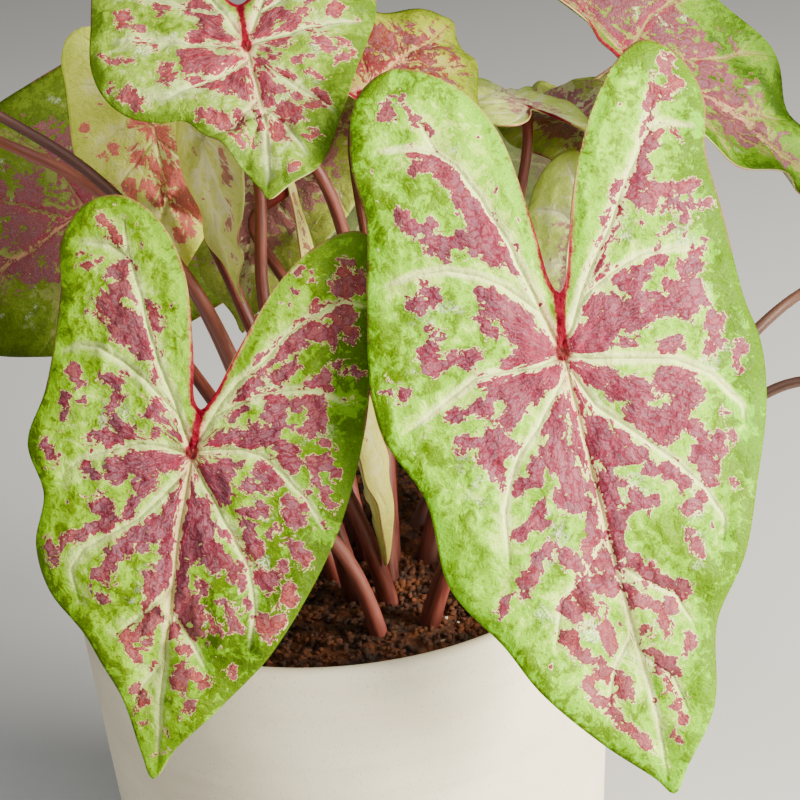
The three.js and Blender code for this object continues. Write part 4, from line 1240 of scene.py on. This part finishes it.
YOUNG_OUTLINE = [
    (0, -63), (5, -52), (11, -36), (13, -17), (8, 0), (3, 6), (0, 7), (-3, 6), (-8, 0), (-13, -17),
    (-11, -36), (-5, -52),
]
YOUNGEST_OUTLINE = [
    (0, -41), (4, -39), (6, -31), (5, -18), (2.8, -6), (2.2, 2), (0, 4), (-2.2, 2), (-2.8, -6), (-5, -18),
    (-6, -31), (-4, -39),
]

# The young look is pale yellow of its own, lifted further towards white as painted light.
add_look("young", reach=0.35, amount=-0.6, thin=0.3, flush=0.0,
         rim="#f0ec84", patch="#e4e470", pale="#fcf6b0", vein="#fcf6bc", edge="#f6e4ac",
         pink="#cc9074", net="#b8785c", warm="#d0926c", hair="#d4c87c")
add_leaf(8, "young_hanging", (2, -35, 218), 73, 77, 0, "young", (14, -35), [(4, -36, 180)],
         outline=YOUNG_OUTLINE, length=63, breadth=26, tip_bend=4, lobe_bend=4, fold=62, droop=8,
         wave=0.5)
add_leaf(12, "young_edge", (-6, 12, 258), 70, 82, 0, "young", (8, -10), [(-7, 4, 225)], stem=2.6,
         outline=YOUNGEST_OUTLINE, length=40, breadth=12, tip_bend=4, lobe_bend=4, fold=30, droop=8,
         wave=0)


# ---------------------------------------------------------------- leaves behind on the right
# Four leaves of the middle and the right show between the front ones, and the
# large salmon one leans out at the top right with painted shade in dark green along two fold lines.

# Two fold lines on the salmon leaf: painted shade darkens them to deep green, and the blotches keep clear of
# them.
TOP_RIGHT_FOLDS = [
    ((24, -23), (22, -30), (19, -37), (18, -48), (17, -60)),
    ((7, -24), (12, -32), (9, -40)),
]
TOP_RIGHT_FOLD_SHADE = [(1, 5, *TOP_RIGHT_FOLDS[0]), (1, 4, *TOP_RIGHT_FOLDS[1])]
TOP_RIGHT_CLEARS = [(1.5, *TOP_RIGHT_FOLDS[0]), (1, *TOP_RIGHT_FOLDS[1])]

add_look("warm", reach=0.72, amount=0.5,
         rim="#808c1e", patch="#647610", pale="#949040", vein="#908040", edge="#8e6c3c",
         pink="#6e2e26", net="#5c2016", warm="#78382a", hair="#807438")
add_look("pale", reach=0.36, amount=-0.8, thin=0.15,
         rim="#dcec74", patch="#c8de58", pale="#f6fab0", vein="#fafabe", edge="#f8f0bc",
         pink="#d8a492", net="#cc9080", warm="#dca890", hair="#c4c47c")
add_look("salmon", reach=0.66, amount=0.2,
         rim="#5c8412", patch="#3c5c08", pale="#868c42", vein="#8e804e", edge="#8c764a",
         pink="#703e44", net="#642e34", warm="#78484a", hair="#80704a")
add_leaf(9, "back_centre", (18, 20, 283), 148, -10, 33, "warm", (15, -9), [(17, 10, 220)],
         length=62, breadth=84, lobes=(0.75, 0.5), tip_bend=10, lobe_bend=40)
add_leaf(10, "back_right_small", (70, 62, 263), 190, 6, 10, "pale", (26, -12), [(52, 24, 205)],
         length=58, breadth=42, tip_bend=0, lobe_bend=0, fold=0, droop=16)
add_leaf(11, "back_right_high", (87, 84, 251), 208, 0, -16, "faded_and_lit", (33, -2), [(60, 40, 200)],
         length=56, breadth=46, lobe_bend=6, fold=20)
add_leaf(13, "behind_notch", (83, 10, 227), -28, 52, 12, "pale", (37, -13),
         [(60, 16, 180), (72, 30, 206)], length=58, breadth=66, lobes=(1, 0.8))
add_leaf(14, "top_right", (102, 55, 279), 82, 30, 20, "salmon", (36, -24),
         [(92, -24, 198), (117, 2, 230), (106, 34, 254)],
         length=83, breadth=92, lobes=(0.15, 1), lobe_bend=28, droop=-33, wave=3,
         depths=TOP_RIGHT_FOLD_SHADE, clears=TOP_RIGHT_CLEARS)


# ---------------------------------------------------------------- side and rear leaves
# Two leaves spread to each side on long stalks and three fill the back of the
# crown, all of the plain green kind.

add_look("green", reach=0.6, amount=0.0,
         rim="#74a010", patch="#4f7008", pale="#a4bc54", vein="#c6d080", edge="#d8cc84",
         pink="#7c3644", net="#64182a", warm="#8c403a", hair="#8c9850")
add_leaf(15, "right_upper", (190, 38, 228), 98, 74, 0, "green", (47, -26),
         [(92, -34, 186), (138, 0, 212)], length=72, breadth=74)
add_leaf(16, "right_lower", (186, -34, 208), 48, 72, 0, "green", (37, -37),
         [(84, -42, 169), (136, -16, 194)], length=72, breadth=72)
add_leaf(17, "left_upper", (-106, -12, 316), -60, 62, 0, "green", (-1, -20),
         [(-23, -12, 204), (-37, -12, 242), (-61, -10, 275)], length=74, breadth=62)
add_leaf(18, "left_lower", (-128, 50, 292), -100, 70, 0, "green", (-12, -12),
         [(-38, 0, 236), (-63, 2, 267), (-88, 5, 282)], length=70, breadth=70)
add_leaf(19, "rear_left", (-57, 144, 218), -150, 52, 0, "green", (-2, 9), [(-18, 66, 182)],
         length=76, breadth=76)
add_leaf(20, "rear_centre", (18, 134, 232), 178, 54, 0, "green", (15, 6), [(18, 60, 190)],
         length=78, breadth=68)
add_leaf(21, "rear_right", (100, 132, 203), 146, 60, 0, "green", (24, 10), [(58, 68, 165)],
         length=72, breadth=70)


# ---------------------------------------------------------------- stalks
# Each stalk is a slender fleshy tube that rises from the soil and bends over
# under its blade: reddish brown, paler towards the top, crimson at the joint.

STALK_SIDES = 20
STALK_STEPS = 70
STALK_END_RADIUS = 1.7
STALK_END_TAPER = 0.96
STALK_RIBBING = 0.035
SLENDER = 0.85
TUBER_TOP = 114
STALK_GAP = 0.3
BLADE_GAP = 0.7
APPROACH = 16
APPROACH_RISE = 0.7
TIP_CRIMSON = "#8e1626"
# For each skin: its dark and light colour, its foot colour, darker partly as painted shade low in the crown,
# its tip colour and where that starts.
STALK_SKIN_COLORS = {
    "red": ("#561f19", "#7a3a2e", "#30140f", TIP_CRIMSON, 0.93),
    "rosy": ("#804036", "#965448", "#642a22", TIP_CRIMSON, 0.93),
    "maroon": ("#7c3c30", "#925042", "#6e2e26", "#0c0000", 0.6),
    "tan": ("#5c3c30", "#704c3e", "#381c16", TIP_CRIMSON, 0.93),
}
STALK_COLORS = {"left_upper": "maroon", "left_lower": "rosy", "front_left": "rosy",
                "right_upper": "tan", "right_lower": "tan"}


def stalk_path(leaf):
    """The middle line from the tuber to the blade's underside, and which way the blade faces."""
    normal = blade_turn(leaf)[:, 2]
    approach = normal + np.array([0, 0, APPROACH_RISE])
    approach /= np.linalg.norm(approach)
    below = np.array(leaf["at"], float) - normal * BLADE_GAP
    x, y = leaf["soil"]
    foot = [(x, y, TUBER_TOP + STALK_GAP), (x, y, SOIL_TOP)]
    points = [*foot, *leaf["via"], below - APPROACH * approach, below]
    return smooth_curve(points, False, STALK_STEPS + 1), normal


def stalk_finish(name, dark, light, foot_color_and_shade, tip_color, tip_from):
    material, recipe, shader, _ = new_finish(f"stalk_skin_{name}")
    along = recipe.attribute("stalk")
    height = recipe.parts(along)[2]
    streaks = recipe.grain(recipe.scaled(along, (0.9, 0.06, 1.0)), 1.0, 5.0, 0.6, 0.4)
    mottle = recipe.grain(recipe.scaled(along, (1.0, 0.25, 1.0)), 1.0, 3.0, 0.6)
    red = recipe.blend(recipe.step(streaks, 0.35, 0.65), dark, light)
    red = recipe.blend(recipe.step(mottle, 0.5, 0.75, 0.0, 0.6), red, dark)
    red = recipe.blend(recipe.step(height, tip_from, tip_from + 0.065, 0.0, 0.8), red, tip_color)
    # Darker towards the foot: partly the stalk's own colour, partly painted shade low in the crown.
    red = recipe.blend(recipe.step(height, 0.1, 0.32, 0.75, 0.0), red, foot_color_and_shade)
    recipe.feed(shader.inputs["Base Color"], red)
    recipe.feed(shader.inputs["Roughness"], recipe.step(streaks, 0.3, 0.7, 0.44, 0.6))
    recipe.feed(shader.inputs["Normal"], recipe.bump(streaks, 0.3, 0.0003))
    return material


STALK_SKINS = {name: stalk_finish(name, *colors) for name, colors in STALK_SKIN_COLORS.items()}


def sides_along(tangents):
    """A direction across the path at each of its points, turning as little as it can."""
    side = np.cross(tangents[0], [0.3, 1.0, 0.1])
    sides = []
    for tangent in tangents:
        side = side - tangent * (side @ tangent)
        side /= np.linalg.norm(side)
        sides.append(side)
    return sides


def grow_stalk(leaf):
    path, normal = stalk_path(leaf)
    tangents = np.gradient(path, axis=0)
    tangents /= np.linalg.norm(tangents, axis=1)[:, None]
    sides = sides_along(tangents)
    lengths = np.concatenate([[0], np.cumsum(np.linalg.norm(np.diff(path, axis=0), axis=1))])
    bm = bmesh.new()
    bmesh.ops.create_grid(bm, x_segments=STALK_SIDES, y_segments=STALK_STEPS, size=0.5)
    layer = bm.verts.layers.float_vector.new("stalk")
    # Each stalk starts its streaks at a place of its own.
    seed = 11.0 * len(leaf["name"]) + leaf["soil"][0]
    for vert in bm.verts:
        turn = math.tau * (vert.co.x + 0.5)
        step = round((vert.co.y + 0.5) * STALK_STEPS)
        share = step / STALK_STEPS
        radius = STALK_END_RADIUS + (leaf["stem"] - STALK_END_RADIUS) * (1 - share) ** 2
        radius *= 1 + STALK_RIBBING * math.sin(3 * turn + 5 * share)
        radius *= SLENDER if leaf["name"] in STALK_COLORS else 1
        if step == STALK_STEPS:
            radius *= STALK_END_TAPER
        across = sides[step]
        upward = np.cross(tangents[step], across)
        spot = path[step] + radius * (math.cos(turn) * across + math.sin(turn) * upward)
        if step == STALK_STEPS:
            # The stalk's end is cut level with the blade's underside.
            over = (spot - path[-1]) @ normal / (tangents[-1] @ normal)
            spot = spot - over * tangents[-1]
        vert[layer] = Vector((math.cos(turn) * 3 + seed, lengths[step], share))
        vert.co = Vector(spot) * MM
    bmesh.ops.remove_doubles(bm, verts=bm.verts, dist=1e-6)
    ends = [edge for edge in bm.edges if edge.is_boundary]
    bmesh.ops.holes_fill(bm, edges=ends, sides=STALK_SIDES)
    bmesh.ops.recalc_face_normals(bm, faces=bm.faces)
    skin = STALK_SKINS[STALK_COLORS.get(leaf["name"], "red")]
    stalk = new_piece(f"stalk_{leaf['name']}", bm, [skin])
    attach(stalk, "root")
    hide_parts(f"petiole_{leaf['name']}")


for leaf in LEAVES:
    grow_stalk(leaf)
